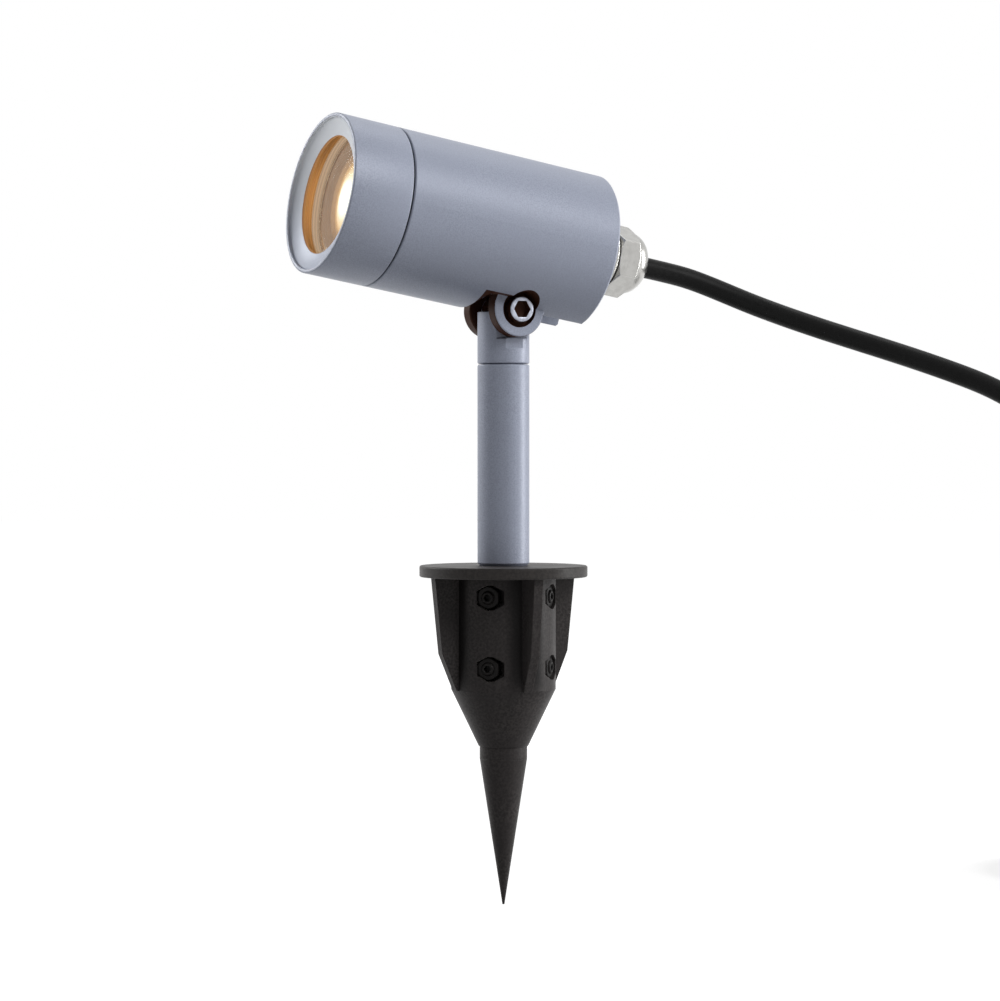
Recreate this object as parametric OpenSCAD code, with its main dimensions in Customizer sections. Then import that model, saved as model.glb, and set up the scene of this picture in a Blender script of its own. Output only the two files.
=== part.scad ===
/* [Head] */
// Diameter of the head
head_d = 60; // [56:0.5:66]
// Wall around the lamp chamber
chamber_wall = 4.3; // [3.8:0.1:4.8]
// Distance from the tilt axis forward to the bezel seam
front_reach = 57; // [54:0.5:64]
// Distance from the tilt axis back to the rear face
rear_reach = 29; // [28:0.5:33]
// Thickness of the rear wall
rear_wall = 4; // [3:0.25:5]
// Head axis above the tilt axis
pivot_drop = 28; // [27.5:0.25:29]
// Upward pitch of the head at rest, in degrees
rest_pitch = 10; // [5:1:20]
// Bevel on the rear edge of the head
rear_bevel = 0.8; // [0.3:0.1:1.5]
// Bevel on the small edges that catch the light
edge_bevel = 0.4; // [0.2:0.1:0.6]

/* [Bezel] */
// Length of the bezel along the head
bezel_len = 24.3; // [23:0.1:27]
// Seam between the bezel and the housing
bezel_seam = 0.6; // [0.4:0.1:1]
// Width of the raised rim on the bezel's face
lip_w = 1.6; // [1:0.1:2.5]
// Depth of the rim's inner wall
lip_depth = 1.2; // [0.6:0.1:2]
// Diameter of the light opening
aperture_d = 44; // [38:0.5:46]
// Depth of the dished face at the light opening
dish_depth = 3; // [1.5:0.1:3.2]
// Thickness of the inward flange around the opening
flange_lip_t = 2.8; // [2:0.1:4]
// Outer diameter of the housing's threaded neck
neck_d = 54.8; // [54:0.1:55.4]
// Wall of the housing's threaded neck
neck_wall = 1.7; // [1.4:0.1:1.9]
// Running clearance on the thread and the shafts
run_gap = 0.08; // [0.04:0.01:0.1]
// Advance of the bezel in one turn
thread_pitch = 2; // [1:0.25:3]
// Depth of the thread on the neck
thread_depth = 0.5; // [0.3:0.1:0.7]

/* [Glass] */
// Thickness of the safety glass
glass_t = 4; // [3:0.25:5]
// Thickness of the glass gasket
gasket_t = 1; // [0.8:0.1:1.2]

/* [Lamp] */
// Diameter of the lamp's face
lamp_d = 49.6; // [48:0.1:50]
// Length of the lamp's straight front rim
lamp_rim_len = 4; // [3:0.5:6]
// Length of the lamp's cone
lamp_cone_len = 30; // [27:0.5:32]
// Diameter of the lamp's base
lamp_base_d = 26; // [24:0.5:26]
// Length of the lamp's base
lamp_base_len = 11; // [9:0.5:12]
// Space between the glass and the lamp
lamp_gap = 0.8; // [0.5:0.1:1.5]
// Distance between the lamp's two pins
pin_pitch = 10; // [9:0.5:12]
// Diameter of a lamp pin's shaft
pin_d = 3; // [2.6:0.1:3.2]
// Diameter of a lamp pin's button
pin_button_d = 5; // [4.6:0.1:5.2]
// Length of a lamp pin
pin_len = 7; // [6:0.25:7.5]
// Diameter of the centre lens
lens_d = 30; // [24:0.5:34]
// Rise of the centre lens
lens_rise = 3.2; // [1.5:0.1:4]

/* [Lampholder] */
// Diameter of the lampholder
holder_d = 26; // [24:0.5:27]
// Length of the lampholder
holder_len = 15; // [13:0.5:16]
// Thickness of the holder strap
strap_t = 1.5; // [1:0.1:2]
// Width of the holder strap
strap_w = 12; // [10:0.5:14]
// Width and depth of the cast lugs that carry the strap
lug_w = 8; // [6:0.5:9]
// Diameter of the small screws
small_screw_d = 3; // [2.5:0.1:3.5]
// Length of the terminal block
block_len = 12; // [10:0.5:13]
// Free run of the cable's cores behind the terminal block
core_run = 9.8; // [8:0.2:12]
// Width of the terminal block
block_w = 24; // [20:0.5:26]
// Height of the terminal block
block_h = 11; // [9:0.5:12]

/* [Gland] */
// Size across the flats of both gland hexagons
gland_af = 23.9; // [22:0.1:25]
// Length of the gland's fixed hexagon
gland_hex_len = 8.9; // [7:0.1:9.5]
// Thread diameter of the gland
gland_thread_d = 20; // [18:0.5:20]
// Gap between the fixed hexagon and the cap nut
gland_gap = 0.7; // [0.4:0.1:1]
// Length of the cap nut's hexagon
cap_hex_len = 8.6; // [7:0.1:9]
// Length of the cap nut's dome
cap_dome_len = 7.2; // [6.5:0.1:9]
// Thickness of the gland's flat seal
gland_seal_t = 1; // [0.8:0.1:1.5]
// Thickness of the gland's lock nut
lock_nut_t = 4; // [3:0.25:5]

/* [Knuckle] */
// Radius of the ears around the tilt axis
ear_r = 10.3; // [9.5:0.1:10.4]
// Width over both ears
ears_w = 26.8; // [25:0.1:27]
// Thickness of one ear
ear_t = 5.6; // [4.8:0.1:5.6]
// Diameter of the counterbore for the screw head
counterbore_d = 13.4; // [12:0.1:14]
// Depth of the counterbore in the ear
counterbore_depth = 2.9; // [2:0.1:3]
// Thickness of the stem's tongue
tongue_t = 14.4; // [13:0.1:14.6]
// Radius of the tongue's eye around the tilt axis
eye_r = 5.5; // [5:0.1:7]
// Depth of the tongue's flat shoulders below the tilt axis
eye_drop = 0.8; // [0.4:0.1:1.5]
// Height of the cone from the shoulders up to the eye
eye_cone = 1.3; // [0.8:0.1:2]
// Depth of the milled relief below the tongue
relief_depth = 0.7; // [0.4:0.1:1.2]
// Height of the milled relief below the tongue
relief_h = 3.8; // [2.5:0.1:4.5]
// Radius of the space that the tongue turns in
pocket_r = 12; // [11.5:0.1:12.5]
// Reach of the milled recess in front of the tilt axis
recess_reach = 16.8; // [15:0.2:18]
// Height of the recess above the tilt axis
recess_h = 3.8; // [3:0.1:4.4]
// Radius of the recess's front corner
recess_corner_r = 5.6; // [4:0.2:6]
// Clearance around the stem where it folds under the head
channel_gap = 0.8; // [0.5:0.1:1.2]

/* [Pivot screws] */
// Diameter of the screw's shoulder
shoulder_d = 6; // [5:0.1:6.5]
// Diameter of the screw's head
screw_head_d = 9.5; // [8:0.1:10]
// Height that the screw's head stands out of the ear
screw_proud = 2.4; // [0.5:0.1:2.5]
// Size across the flats of the screw's socket
socket_af = 6; // [5:0.1:6.5]
// Depth of the screw's socket
socket_depth = 3.4; // [2:0.1:4]
// Length of the screw in the tongue
screw_grip = 5; // [3:0.25:6]
// Step from the screw's shoulder down to its thread
thread_step = 1; // [0.5:0.25:1.5]

/* [Post] */
// Diameter of the post and the stem
post_d = 19.6; // [18:0.1:20]
// Wall of the post tube
post_wall = 2; // [1.5:0.1:2.5]
// Height of the swivel seam above the ground
seam_z = 80; // [70:0.5:84]
// Height of the tilt axis above the ground
pivot_z = 100.4; // [97:0.1:104]
// Diameter of the stem's spigot
spigot_d = 12; // [10:0.25:12.5]
// Length of the stem's spigot
spigot_len = 18; // [14:0.5:22]
// Gap at the swivel seam
seam_gap = 0.3; // [0.2:0.05:0.5]
// Bevel on the post's foot
post_bevel = 1; // [0.5:0.1:1.5]

/* [Flange and spike] */
// Diameter of the flange disc
flange_d = 63.5; // [60:0.5:70]
// Thickness of the flange disc
flange_t = 4.2; // [3:0.1:6]
// Diameter of the hub
hub_d = 39.6; // [37:0.2:42]
// Length of the hub's straight part
hub_len = 42.4; // [41:0.2:46]
// Length of the cone below the hub
cone_len = 21.5; // [19:0.5:25]
// Diameter at the end of the cone
cone_end_d = 18.8; // [18.2:0.1:20]
// Length of the collar
collar_len = 4.7; // [3:0.1:6]
// Diameter of the point at its collar
point_d = 18; // [16:0.1:18.1]
// Length of the point
point_len = 55.4; // [50:0.2:60]
// Radius of the point's tip
tip_r = 0.4; // [0.3:0.1:0.8]
// Thickness of a fin
fin_t = 3.7; // [3:0.1:4.5]
// Reach of a fin from the axis at its top
fin_top_r = 29.4; // [27:0.2:30]
// Reach of a fin from the axis at its shoulder
fin_low_r = 26.4; // [24:0.2:27]
// Reach of a fin from the axis at its foot
fin_end_r = 20.5; // [20:0.1:21]
// Depth of the fin's shoulder below the ground
fin_shoulder_z = 28.5; // [26:0.5:32]

/* [Clamping screws] */
// Depth of the upper row of screws below the ground
upper_row_z = 7.2; // [6.5:0.1:8]
// Distance between the two rows
row_pitch = 26.6; // [24:0.2:28]
// Width of a nut pocket
pocket_w = 10.6; // [10:0.1:11]
// Height of a nut pocket
pocket_h = 9.3; // [9:0.1:9.8]
// Distance of the pocket's floor from the axis
pocket_floor_r = 14.4; // [14:0.1:14.6]
// Sideways step of a pocket from its screw
pocket_shift = 1.2; // [0.5:0.1:1.2]
// Size across the flats of a clamping nut
nut_af = 8; // [7:0.1:8.4]
// Thickness of a clamping nut
nut_t = 4; // [3:0.1:4.5]
// Diameter of a clamping screw
clamp_d = 5; // [4:0.1:5]
// Length of a clamping screw
clamp_len = 11.4; // [10.6:0.1:11.8]

/* [Cable] */
// Diameter of the cable
cable_d = 8; // [7:0.1:8.2]
// Radius of the coil's innermost turn
coil_r = 39.5; // [38:0.5:42]
// Distance between neighbouring turns
turn_pitch = 8.8; // [8.7:0.1:10]
// Distance between the two layers
layer_pitch = 8.7; // [8.6:0.1:10]
// Turns in each layer
layer_turns = 1.625; // [1.625:0.5:3.625]
// Thickness of the coil's tie
tie_t = 1.2; // [1:0.1:1.3]
// Width of the coil's tie
tie_w = 9; // [6:0.5:14]

/* [Plug] */
// Diameter of the plug's body
plug_d = 38; // [35:0.5:38]
// Length of the plug's body
plug_len = 34; // [30:0.5:38]
// Length of the plug's cable boot
boot_len = 30; // [24:0.5:36]
// Diameter of a plug pin
plug_pin_d = 4.8; // [4.6:0.05:4.9]
// Length of a plug pin
plug_pin_len = 19; // [18:0.25:20]
// Distance between the plug's pins
plug_pin_pitch = 19; // [18:0.25:20]

/* [Hidden] */
$fn = 96;
eps = 0.4;

paint = "#8b93a6";
nickel = "#b9b5ad";
zinc = "#a9a9a6";
moulding = "#2d2b2b";
black_rubber = "#191919";

head_r = head_d / 2;
chamber_r = head_r - chamber_wall;
neck_r = neck_d / 2;
neck_bore_r = neck_r - neck_wall;
bezel_bore_r = neck_r + run_gap;
bezel_back_s = front_reach + bezel_seam;
bezel_face_s = front_reach + bezel_len;
recess_s = bezel_face_s - lip_depth;
dish_s = bezel_face_s - dish_depth;
seat_s = recess_s - flange_lip_t;
glass_front_s = seat_s - gasket_t;
glass_back_s = glass_front_s - glass_t;
neck_end_s = glass_back_s - gasket_t;
glass_r = bezel_bore_r - gasket_t - run_gap;
lamp_face_s = glass_back_s - lamp_gap - lens_rise;
lamp_cone_s = lamp_face_s - lamp_rim_len;
lamp_neck_s = lamp_cone_s - lamp_cone_len;
lamp_back_s = lamp_neck_s - lamp_base_len;
holder_front_s = lamp_back_s;
holder_back_s = holder_front_s - holder_len;
strap_back_s = holder_back_s - strap_t;
block_back_s = strap_back_s - block_len;
rear_in_s = rear_wall - rear_reach;
boss_wall = 1.5;
boss_roof_y = pocket_r - pivot_drop + boss_wall;
boss_half_w = ears_w / 2 + boss_wall;
lug_x = chamber_r - lug_w / 2;
strap_half_w = lug_x + lug_w / 4;
block_y = holder_d / 4;

ear_in_x = ears_w / 2 - ear_t;
ear_out_x = ears_w / 2;
counterbore_x = ear_out_x - counterbore_depth;
washer_t = ear_in_x - tongue_t / 2 - 2 * run_gap;
screw_grip_r = shoulder_d / 2 - thread_step;
post_r = post_d / 2;
ledge_z = pivot_z - ear_r - 3 * run_gap;
channel_r = post_r + channel_gap;
bush_r = post_r - post_wall;
spigot_r = spigot_d / 2;
spigot_end_z = seam_z + seam_gap - spigot_len;
clip_t = spigot_r / 5;
core_r = bush_r - run_gap / 2;
core_top_z = post_d;
core_end_z = -(hub_len - rear_wall / 2);
hub_r = hub_d / 2;
cone_end_z = -(hub_len + cone_len);
collar_end_z = cone_end_z - collar_len;
ground_z = collar_end_z - point_len;
point_peg_r = point_d / 4;
point_peg_len = cone_len / 2;

gland_hex_back_s = -(rear_reach + gland_seal_t + gland_hex_len);
cap_front_s = gland_hex_back_s - gland_gap;
cap_hex_back_s = cap_front_s - cap_hex_len;
gland_end_s = cap_hex_back_s - cap_dome_len;
gland_thread_r = gland_thread_d / 2;
cable_r = cable_d / 2;
cable_bore_r = cable_r + run_gap * 2;
gland_in_s = rear_in_s + lock_nut_t + gland_seal_t;
tail_end_s = block_back_s - core_run;

// Free stretch of the cable, from the gland to the coil
route = [
    [0, 59.44, 118.35], [0, 71.1, 116.3], [1, 81, 114], [5, 92, 109.5], [12, 103, 104],
    [21, 114, 98.7], [32, 125, 93.4], [44, 136, 88.2], [56, 147, 82.9], [67.6, 157.6, 77.4],
    [78.5, 168, 71.4], [88.1, 177.7, 63.2], [95.6, 186, 52.5], [101.2, 193, 39.2],
    [105.2, 198.9, 23.5], [107.7, 203.5, 5.5], [108.9, 207.1, -15], [109.2, 209.8, -36.5],
    [108.4, 211.7, -58], [105.5, 213, -77.3], [99.8, 213.8, -94.2], [90.8, 214.1, -107.5],
    [78.8, 214.2, -115.8], [65, 214.2, -118.8], [54, 214.2, -118.8]
];
// Stretch from the coil to the plug
lead_route = [
    [-7.8, 276, -110.1], [-7.8, 287, -110.1], [-7.8, 297.5, -110.3], [-7.8, 308, -110.4],
    [-6.6, 317.1, -110], [-3.1, 325.5, -109.3], [2.5, 332.8, -108.3], [9.7, 338.3, -107.1],
    [18.1, 341.8, -106], [27.2, 343, -105], [34, 343, -105]
];
coil_centre = [46, 268];
coil_z = ground_z + tie_t + cable_r;
plug_axis_z = ground_z + plug_d / 2;
plug_start = [34, 343, plug_axis_z];
plug_root_r = plug_pin_d * 5 / 12;

module in_head() {
    translate([0, 0, pivot_z])
        rotate([90 - rest_pitch, 0, 0])
            translate([0, pivot_drop, 0])
                children();
}

module along(s) {
    translate([0, 0, s]) children();
}

module ring(outer_r, inner_r, h) {
    difference() {
        cylinder(r = outer_r, h = h);
        translate([0, 0, -eps]) cylinder(r = inner_r, h = h + 2 * eps);
    }
}

module hexagon(af, h) {
    rotate([0, 0, 30]) cylinder(d = af / cos(30), h = h, $fn = 6);
}

module ear_disc(r, x0, x1) {
    translate([x0, -pivot_drop, 0])
        rotate([0, 90, 0])
            cylinder(r = r, h = x1 - x0);
}

module both_sides() {
    children();
    mirror([1, 0, 0]) children();
}

module bevelled(r, h, back, front) {
    cylinder(r1 = r - back, r2 = r, h = back);
    translate([0, 0, back]) cylinder(r = r, h = h - back - front);
    translate([0, 0, h - front]) cylinder(r1 = r, r2 = r - front, h = front);
}

module knuckle_boss() {
    intersection() {
        along(-rear_reach) cylinder(r = head_r - boss_wall / 2, h = rear_reach + 2 * recess_reach);
        translate([-boss_half_w, -head_r, -rear_reach])
            cube([2 * boss_half_w, head_r + boss_roof_y, rear_reach + recess_reach + boss_wall]);
    }
}

module milled_recess() {
    corner_y = recess_h - pivot_drop - recess_corner_r;
    corner_s = recess_reach - recess_corner_r;
    translate([-head_r, corner_y, corner_s]) rotate([0, 90, 0]) cylinder(r = recess_corner_r, h = head_d);
    translate([-head_r, -head_r - eps, 0])
        cube([head_d, recess_h - pivot_drop + head_r + eps, corner_s]);
    translate([-head_r, -head_r - eps, 0]) cube([head_d, corner_y + head_r + eps, recess_reach]);
}

module strap_lug() {
    lug_len = strap_back_s - rear_in_s + eps;
    intersection() {
        along(rear_in_s - eps) cylinder(r = chamber_r + boss_wall, h = lug_len);
        translate([lug_x - lug_w / 2, -lug_w / 2, rear_in_s - eps]) cube([2 * lug_w, lug_w, lug_len]);
    }
}

module threaded_neck() {
    difference() {
        along(front_reach - eps) cylinder(r = neck_r, h = neck_end_s - front_reach + eps);
        for (s = [bezel_back_s + thread_pitch:thread_pitch:neck_end_s - thread_pitch])
            along(s) ring(neck_r + eps, neck_r - thread_depth, thread_pitch / 2);
    }
}

module head_housing() {
    color(paint) in_head() {
        difference() {
            union() {
                difference() {
                    union() {
                        along(-rear_reach)
                            bevelled(head_r, rear_reach + front_reach, rear_bevel, edge_bevel);
                        threaded_neck();
                    }
                    along(rear_in_s) cylinder(r = chamber_r, h = front_reach - rear_in_s - rear_wall);
                    along(front_reach - rear_wall - eps)
                        cylinder(r = neck_bore_r, h = neck_end_s - front_reach + rear_wall + 2 * eps);
                }
                knuckle_boss();
                both_sides() strap_lug();
            }
            translate([0, -pivot_drop, -rear_reach - eps])
                cylinder(r = channel_r, h = rear_reach + eps);
            ear_disc(pocket_r, -channel_r, channel_r);
            milled_recess();
            both_sides() ear_disc(counterbore_d / 2, counterbore_x, head_d);
            along(-rear_reach - eps) cylinder(r = gland_thread_r + run_gap, h = rear_wall + 2 * eps);
            both_sides()
                translate([lug_x, 0, strap_back_s - lug_w])
                    cylinder(d = small_screw_d, h = lug_w + eps);
        }
        both_sides() difference() {
            union() {
                translate([ear_in_x, -pivot_drop, 0])
                    rotate([0, 90, 0]) bevelled(ear_r, ear_t, edge_bevel, edge_bevel);
                translate([ear_in_x, -pivot_drop, -ear_r])
                    cube([ear_t, pocket_r + boss_wall / 2, 2 * ear_r]);
            }
            ear_disc(shoulder_d / 2 + run_gap, ear_in_x - eps, ear_out_x + eps);
            ear_disc(counterbore_d / 2, counterbore_x, ear_out_x + eps);
        }
    }
}

module bezel_ring() {
    color(paint) in_head() difference() {
        along(bezel_back_s) bevelled(head_r, bezel_face_s - bezel_back_s, edge_bevel, edge_bevel);
        along(bezel_back_s - eps) cylinder(r = bezel_bore_r, h = seat_s - bezel_back_s + eps);
        along(seat_s - eps) cylinder(d = aperture_d, h = bezel_face_s - seat_s + 2 * eps);
        rotate_extrude() polygon([
            [0, dish_s],
            [aperture_d / 2, dish_s],
            [head_r - lip_w - eps, recess_s],
            [head_r - lip_w, bezel_face_s + eps],
            [0, bezel_face_s + eps]
        ]);
    }
}

module bezel_oring() {
    color(black_rubber) in_head()
        along(front_reach) ring(head_r - lip_w / 2, neck_r + run_gap / 2, bezel_seam - run_gap);
}

module lens_glass() {
    color([0.8, 0.85, 0.85, 0.35]) in_head()
        along(glass_back_s) cylinder(r = glass_r - run_gap, h = glass_t);
}

module glass_gasket() {
    color("#3a3a3a") in_head() difference() {
        along(neck_end_s + run_gap / 2)
            cylinder(r = bezel_bore_r - seam_gap, h = seat_s - neck_end_s - run_gap);
        along(glass_back_s) cylinder(r = glass_r, h = glass_t);
        along(neck_end_s - eps)
            cylinder(r = glass_r - 2 * gasket_t, h = seat_s - neck_end_s + 2 * eps);
    }
}

module lamp_reflector() {
    color("#c9b79a") in_head() rotate_extrude() polygon([
        [lamp_base_d / 2, lamp_neck_s],
        [lamp_base_d / 2 + gasket_t, lamp_neck_s + lamp_rim_len],
        [lamp_d / 2, lamp_cone_s],
        [lamp_d / 2, lamp_face_s],
        [lamp_d / 2 - gasket_t, lamp_face_s],
        [lamp_d / 2 - gasket_t, lamp_cone_s],
        [lamp_base_d / 2 + gasket_t / 2, lamp_neck_s + lamp_rim_len + gasket_t],
        [lamp_base_d / 2 - gasket_t, lamp_neck_s + lamp_rim_len / 2],
        [lamp_base_d / 2 - gasket_t, lamp_neck_s]
    ]);
}

module lamp_rings() {
    color("#d9c29a") in_head() {
        ring_w = (lamp_d / 2 - gasket_t - run_gap - lens_d / 2) / 4;
        for (i = [0:3])
            along(lamp_cone_s + i * lamp_rim_len / 5)
                ring(lens_d / 2 + (i + 1) * ring_w, lens_d / 2 + i * ring_w - (i > 0 ? eps : 0),
                     lamp_rim_len / 3);
    }
}

module lamp_lens() {
    dome_r = (pow(lens_d / 2, 2) + pow(lens_rise, 2)) / (2 * lens_rise);
    color("#ffe7b0") in_head() union() {
        along(lamp_cone_s) cylinder(d = lens_d - 2 * run_gap, h = lamp_rim_len / 3);
        intersection() {
            along(lamp_cone_s + lamp_rim_len / 3 + lens_rise - dome_r) sphere(r = dome_r);
            along(lamp_cone_s) cylinder(d = lens_d - 2 * run_gap, h = 2 * lamp_rim_len + lens_rise);
        }
    }
}

module lamp_base() {
    color("#e8e4dc") in_head() difference() {
        union() {
            along(lamp_back_s) cylinder(d = lamp_base_d - 2 * gasket_t, h = lamp_base_len);
            along(lamp_neck_s) cylinder(d = lamp_base_d - 2 * gasket_t - 2 * run_gap, h = lamp_rim_len / 2);
        }
        along(lamp_back_s + lamp_base_len / 2)
            ring(lamp_base_d, lamp_base_d / 2 - 2 * gasket_t, gasket_t);
    }
}

module lamp_pins() {
    color(nickel) in_head() both_sides() translate([pin_pitch / 2, 0, lamp_back_s - pin_len]) {
        cylinder(d = pin_button_d, h = pin_len / 4);
        cylinder(d = pin_d, h = pin_len);
    }
}

module lamp_holder() {
    color("#e9e6df") in_head() difference() {
        along(holder_back_s) cylinder(d = holder_d, h = holder_len);
        both_sides() translate([pin_pitch / 2, 0, holder_front_s - pin_len - run_gap])
            cylinder(d = pin_button_d + 2 * run_gap, h = pin_len + eps);
        both_sides() translate([holder_d / 3, holder_d / 5, holder_back_s - eps])
            cylinder(d = small_screw_d, h = holder_len / 3);
    }
}

module holder_strap() {
    color(zinc) in_head() difference() {
        translate([-strap_half_w, -strap_w / 2, strap_back_s]) cube([2 * strap_half_w, strap_w, strap_t]);
        along(strap_back_s - eps) cylinder(d = strap_w / 2, h = strap_t + 2 * eps);
        both_sides() translate([lug_x, 0, strap_back_s - eps])
            cylinder(d = small_screw_d + 2 * run_gap, h = strap_t + 2 * eps);
    }
}

module strap_screws() {
    head_h = small_screw_d / 2;
    slot_w = small_screw_d / 4;
    color(zinc) in_head() both_sides() translate([lug_x, 0, strap_back_s + strap_t]) difference() {
        union() {
            translate([0, 0, eps - strap_t - lug_w])
                cylinder(d = small_screw_d - 2 * run_gap, h = strap_t + lug_w);
            cylinder(d = 2 * small_screw_d, h = head_h);
        }
        translate([-2 * small_screw_d, -slot_w / 2, head_h / 2])
            cube([4 * small_screw_d, slot_w, head_h]);
    }
}

module terminal_block() {
    color("#d8d8d2") in_head() difference() {
        translate([-block_w / 2, block_y, block_back_s]) cube([block_w, block_h, block_len]);
        for (i = [-1:1]) {
            translate([i * block_w / 3, block_y + block_h / 2, block_back_s + block_len / 2])
                rotate([-90, 0, 0]) cylinder(d = small_screw_d, h = block_h);
            translate([i * block_w / 3, block_y + block_h / 2, block_back_s - eps])
                cylinder(d = small_screw_d - run_gap, h = block_len / 3);
        }
    }
}

module core_wires() {
    core_r = cable_r / 4;
    color("#8a5a2b") in_head() for (i = [-1:1]) {
        tail_x = 2 * i * core_r;
        block_x = i * block_w / 3;
        wire_y = block_y + block_h / 2;
        rise_s = max(tail_end_s + 2 * core_r, gland_in_s);
        tube([
            [tail_x, 0, tail_end_s],
            [tail_x, 0, rise_s],
            [block_x, wire_y, block_back_s - 2 * core_r],
            [block_x, wire_y, block_back_s + block_len / 4]
        ], core_r, lead_sides);
    }
}

module lamp_leads() {
    lead_d = small_screw_d / 2;
    color("#e6dccb") in_head() both_sides() tube([
        [lead_d, 0, holder_back_s],
        [lead_d, 0, strap_back_s - lead_d],
        [lead_d, block_y, strap_back_s - lead_d]
    ], lead_d / 2, lead_sides);
}

module gland_body() {
    color(nickel) in_head() difference() {
        union() {
            along(gland_hex_back_s) hexagon(gland_af, gland_hex_len);
            along(gland_hex_back_s)
                cylinder(r = gland_thread_r - run_gap, h = gland_in_s - gland_hex_back_s);
            along(cap_hex_back_s)
                cylinder(r = gland_thread_r - 2 * run_gap, h = gland_hex_back_s - cap_hex_back_s + eps);
        }
        along(cap_hex_back_s - eps) cylinder(r = gland_thread_r - 3 * gland_seal_t, h = head_r);
    }
}

module gland_cap_nut() {
    dome_r = gland_af / 2 - gland_seal_t / 5;
    dome_arc = 70;
    dome_step = dome_arc / 7;
    mouth_r = cable_r + gland_gap / 2;
    color(nickel) in_head() difference() {
        union() {
            intersection() {
                along(cap_hex_back_s) hexagon(gland_af, cap_hex_len);
                along(cap_hex_back_s)
                    cylinder(r1 = gland_af / 2, r2 = gland_af / 2 + cap_hex_len, h = cap_hex_len);
            }
            rotate_extrude() polygon(concat(
                [[mouth_r, cap_hex_back_s + eps], [dome_r, cap_hex_back_s + eps]],
                [for (a = [0:dome_step:dome_arc - dome_step])
                    [dome_r * cos(a), cap_hex_back_s - cap_dome_len * sin(a) / sin(dome_arc)]],
                [[cable_r + gland_gap, gland_end_s], [mouth_r, gland_end_s]]
            ));
        }
        along(cap_hex_back_s - gland_gap) cylinder(r = gland_thread_r, h = cap_hex_len + 2 * gland_gap);
        along(gland_end_s + cap_dome_len / 4)
            cylinder(r1 = mouth_r + gland_gap, r2 = gland_thread_r, h = cap_dome_len * 3 / 4 - gland_gap);
        along(gland_end_s - eps) cylinder(r = mouth_r, h = cap_dome_len);
    }
}

module gland_seal() {
    collar_r = cable_r + 1.5 * gland_seal_t;
    sleeve_r = gland_thread_r - 3 * gland_seal_t - run_gap;
    color(black_rubber) in_head() along(gland_end_s + cap_dome_len / 3) difference() {
        union() {
            cylinder(r1 = collar_r, r2 = collar_r + 2 * gland_seal_t, h = cap_dome_len / 3);
            cylinder(r = collar_r, h = cap_dome_len);
            translate([0, 0, cap_dome_len * 2 / 3 + eps])
                cylinder(r = sleeve_r, h = cap_dome_len / 3 + cap_hex_len / 2);
        }
        translate([0, 0, -eps]) cylinder(r = cable_bore_r, h = 2 * cap_dome_len);
    }
}

module gland_washer() {
    color(black_rubber) in_head()
        along(-rear_reach - gland_seal_t) ring(gland_af / 2, gland_thread_r, gland_seal_t);
}

module gland_lock_nut() {
    color(nickel) in_head() along(rear_in_s) difference() {
        hexagon(gland_af, lock_nut_t);
        translate([0, 0, -eps]) cylinder(r = gland_thread_r, h = lock_nut_t + 2 * eps);
    }
}

module cable_tail() {
    color(black_rubber) in_head()
        along(gland_end_s) cylinder(r = cable_r, h = tail_end_s - gland_end_s);
}

module swivel_stem() {
    color(paint) difference() {
        union() {
            translate([0, 0, seam_z + seam_gap])
                bevelled(post_r, ledge_z - seam_z - seam_gap, edge_bevel, edge_bevel);
            intersection() {
                translate([0, 0, seam_z + seam_gap]) cylinder(r = post_r, h = head_r + pivot_z - seam_z);
                union() {
                    translate([-tongue_t / 2, 0, pivot_z])
                        rotate([0, 90, 0]) cylinder(r = eye_r, h = tongue_t);
                    intersection() {
                        translate([0, 0, ledge_z - eps]) union() {
                            cylinder(r = post_r + eps, h = pivot_z - eye_drop - ledge_z + eps);
                            translate([0, 0, pivot_z - eye_drop - ledge_z + eps])
                                cylinder(r1 = post_r + eps, r2 = eye_r, h = eye_cone);
                        }
                        translate([-tongue_t / 2, -post_r, ledge_z - eps])
                            cube([tongue_t, post_d, pivot_z - ledge_z + eye_cone]);
                    }
                }
            }
            translate([0, 0, spigot_end_z]) cylinder(r = spigot_r, h = spigot_len + eps);
        }
        both_sides() translate([post_r - relief_depth, -post_r, ledge_z - relief_h])
            cube([post_r, post_d, relief_h + eps]);
        translate([-post_r, 0, pivot_z]) rotate([0, 90, 0]) cylinder(r = screw_grip_r, h = post_d);
        translate([0, 0, spigot_end_z + clip_t]) ring(post_r, spigot_r - clip_t, clip_t + run_gap);
    }
}

module pivot_screws() {
    head_x = counterbore_x + run_gap;
    head_h = ear_out_x + screw_proud - head_x;
    color("#c9c9ce") both_sides() translate([0, 0, pivot_z]) rotate([0, 90, 0]) difference() {
        union() {
            translate([0, 0, tongue_t / 2 - screw_grip])
                cylinder(r = screw_grip_r - run_gap, h = screw_grip + eps);
            translate([0, 0, tongue_t / 2 + run_gap / 2])
                cylinder(d = shoulder_d, h = head_x - tongue_t / 2);
            translate([0, 0, head_x]) cylinder(d = screw_head_d, h = head_h - eps);
            translate([0, 0, head_x + head_h - eps])
                cylinder(d1 = screw_head_d, d2 = screw_head_d - 2 * eps, h = eps);
        }
        translate([0, 0, head_x + head_h - socket_depth])
            hexagon(socket_af, socket_depth + eps);
    }
}

module pivot_washers() {
    color("#77787a") both_sides() translate([tongue_t / 2 + run_gap, 0, pivot_z])
        rotate([0, 90, 0]) ring(eye_r, shoulder_d / 2 + run_gap, washer_t);
}

module post_tube() {
    color(paint) difference() {
        translate([0, 0, flange_t]) bevelled(post_r, seam_z - flange_t, post_bevel, edge_bevel);
        translate([0, 0, flange_t - eps]) cylinder(r = bush_r, h = seam_z);
    }
}

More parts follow.
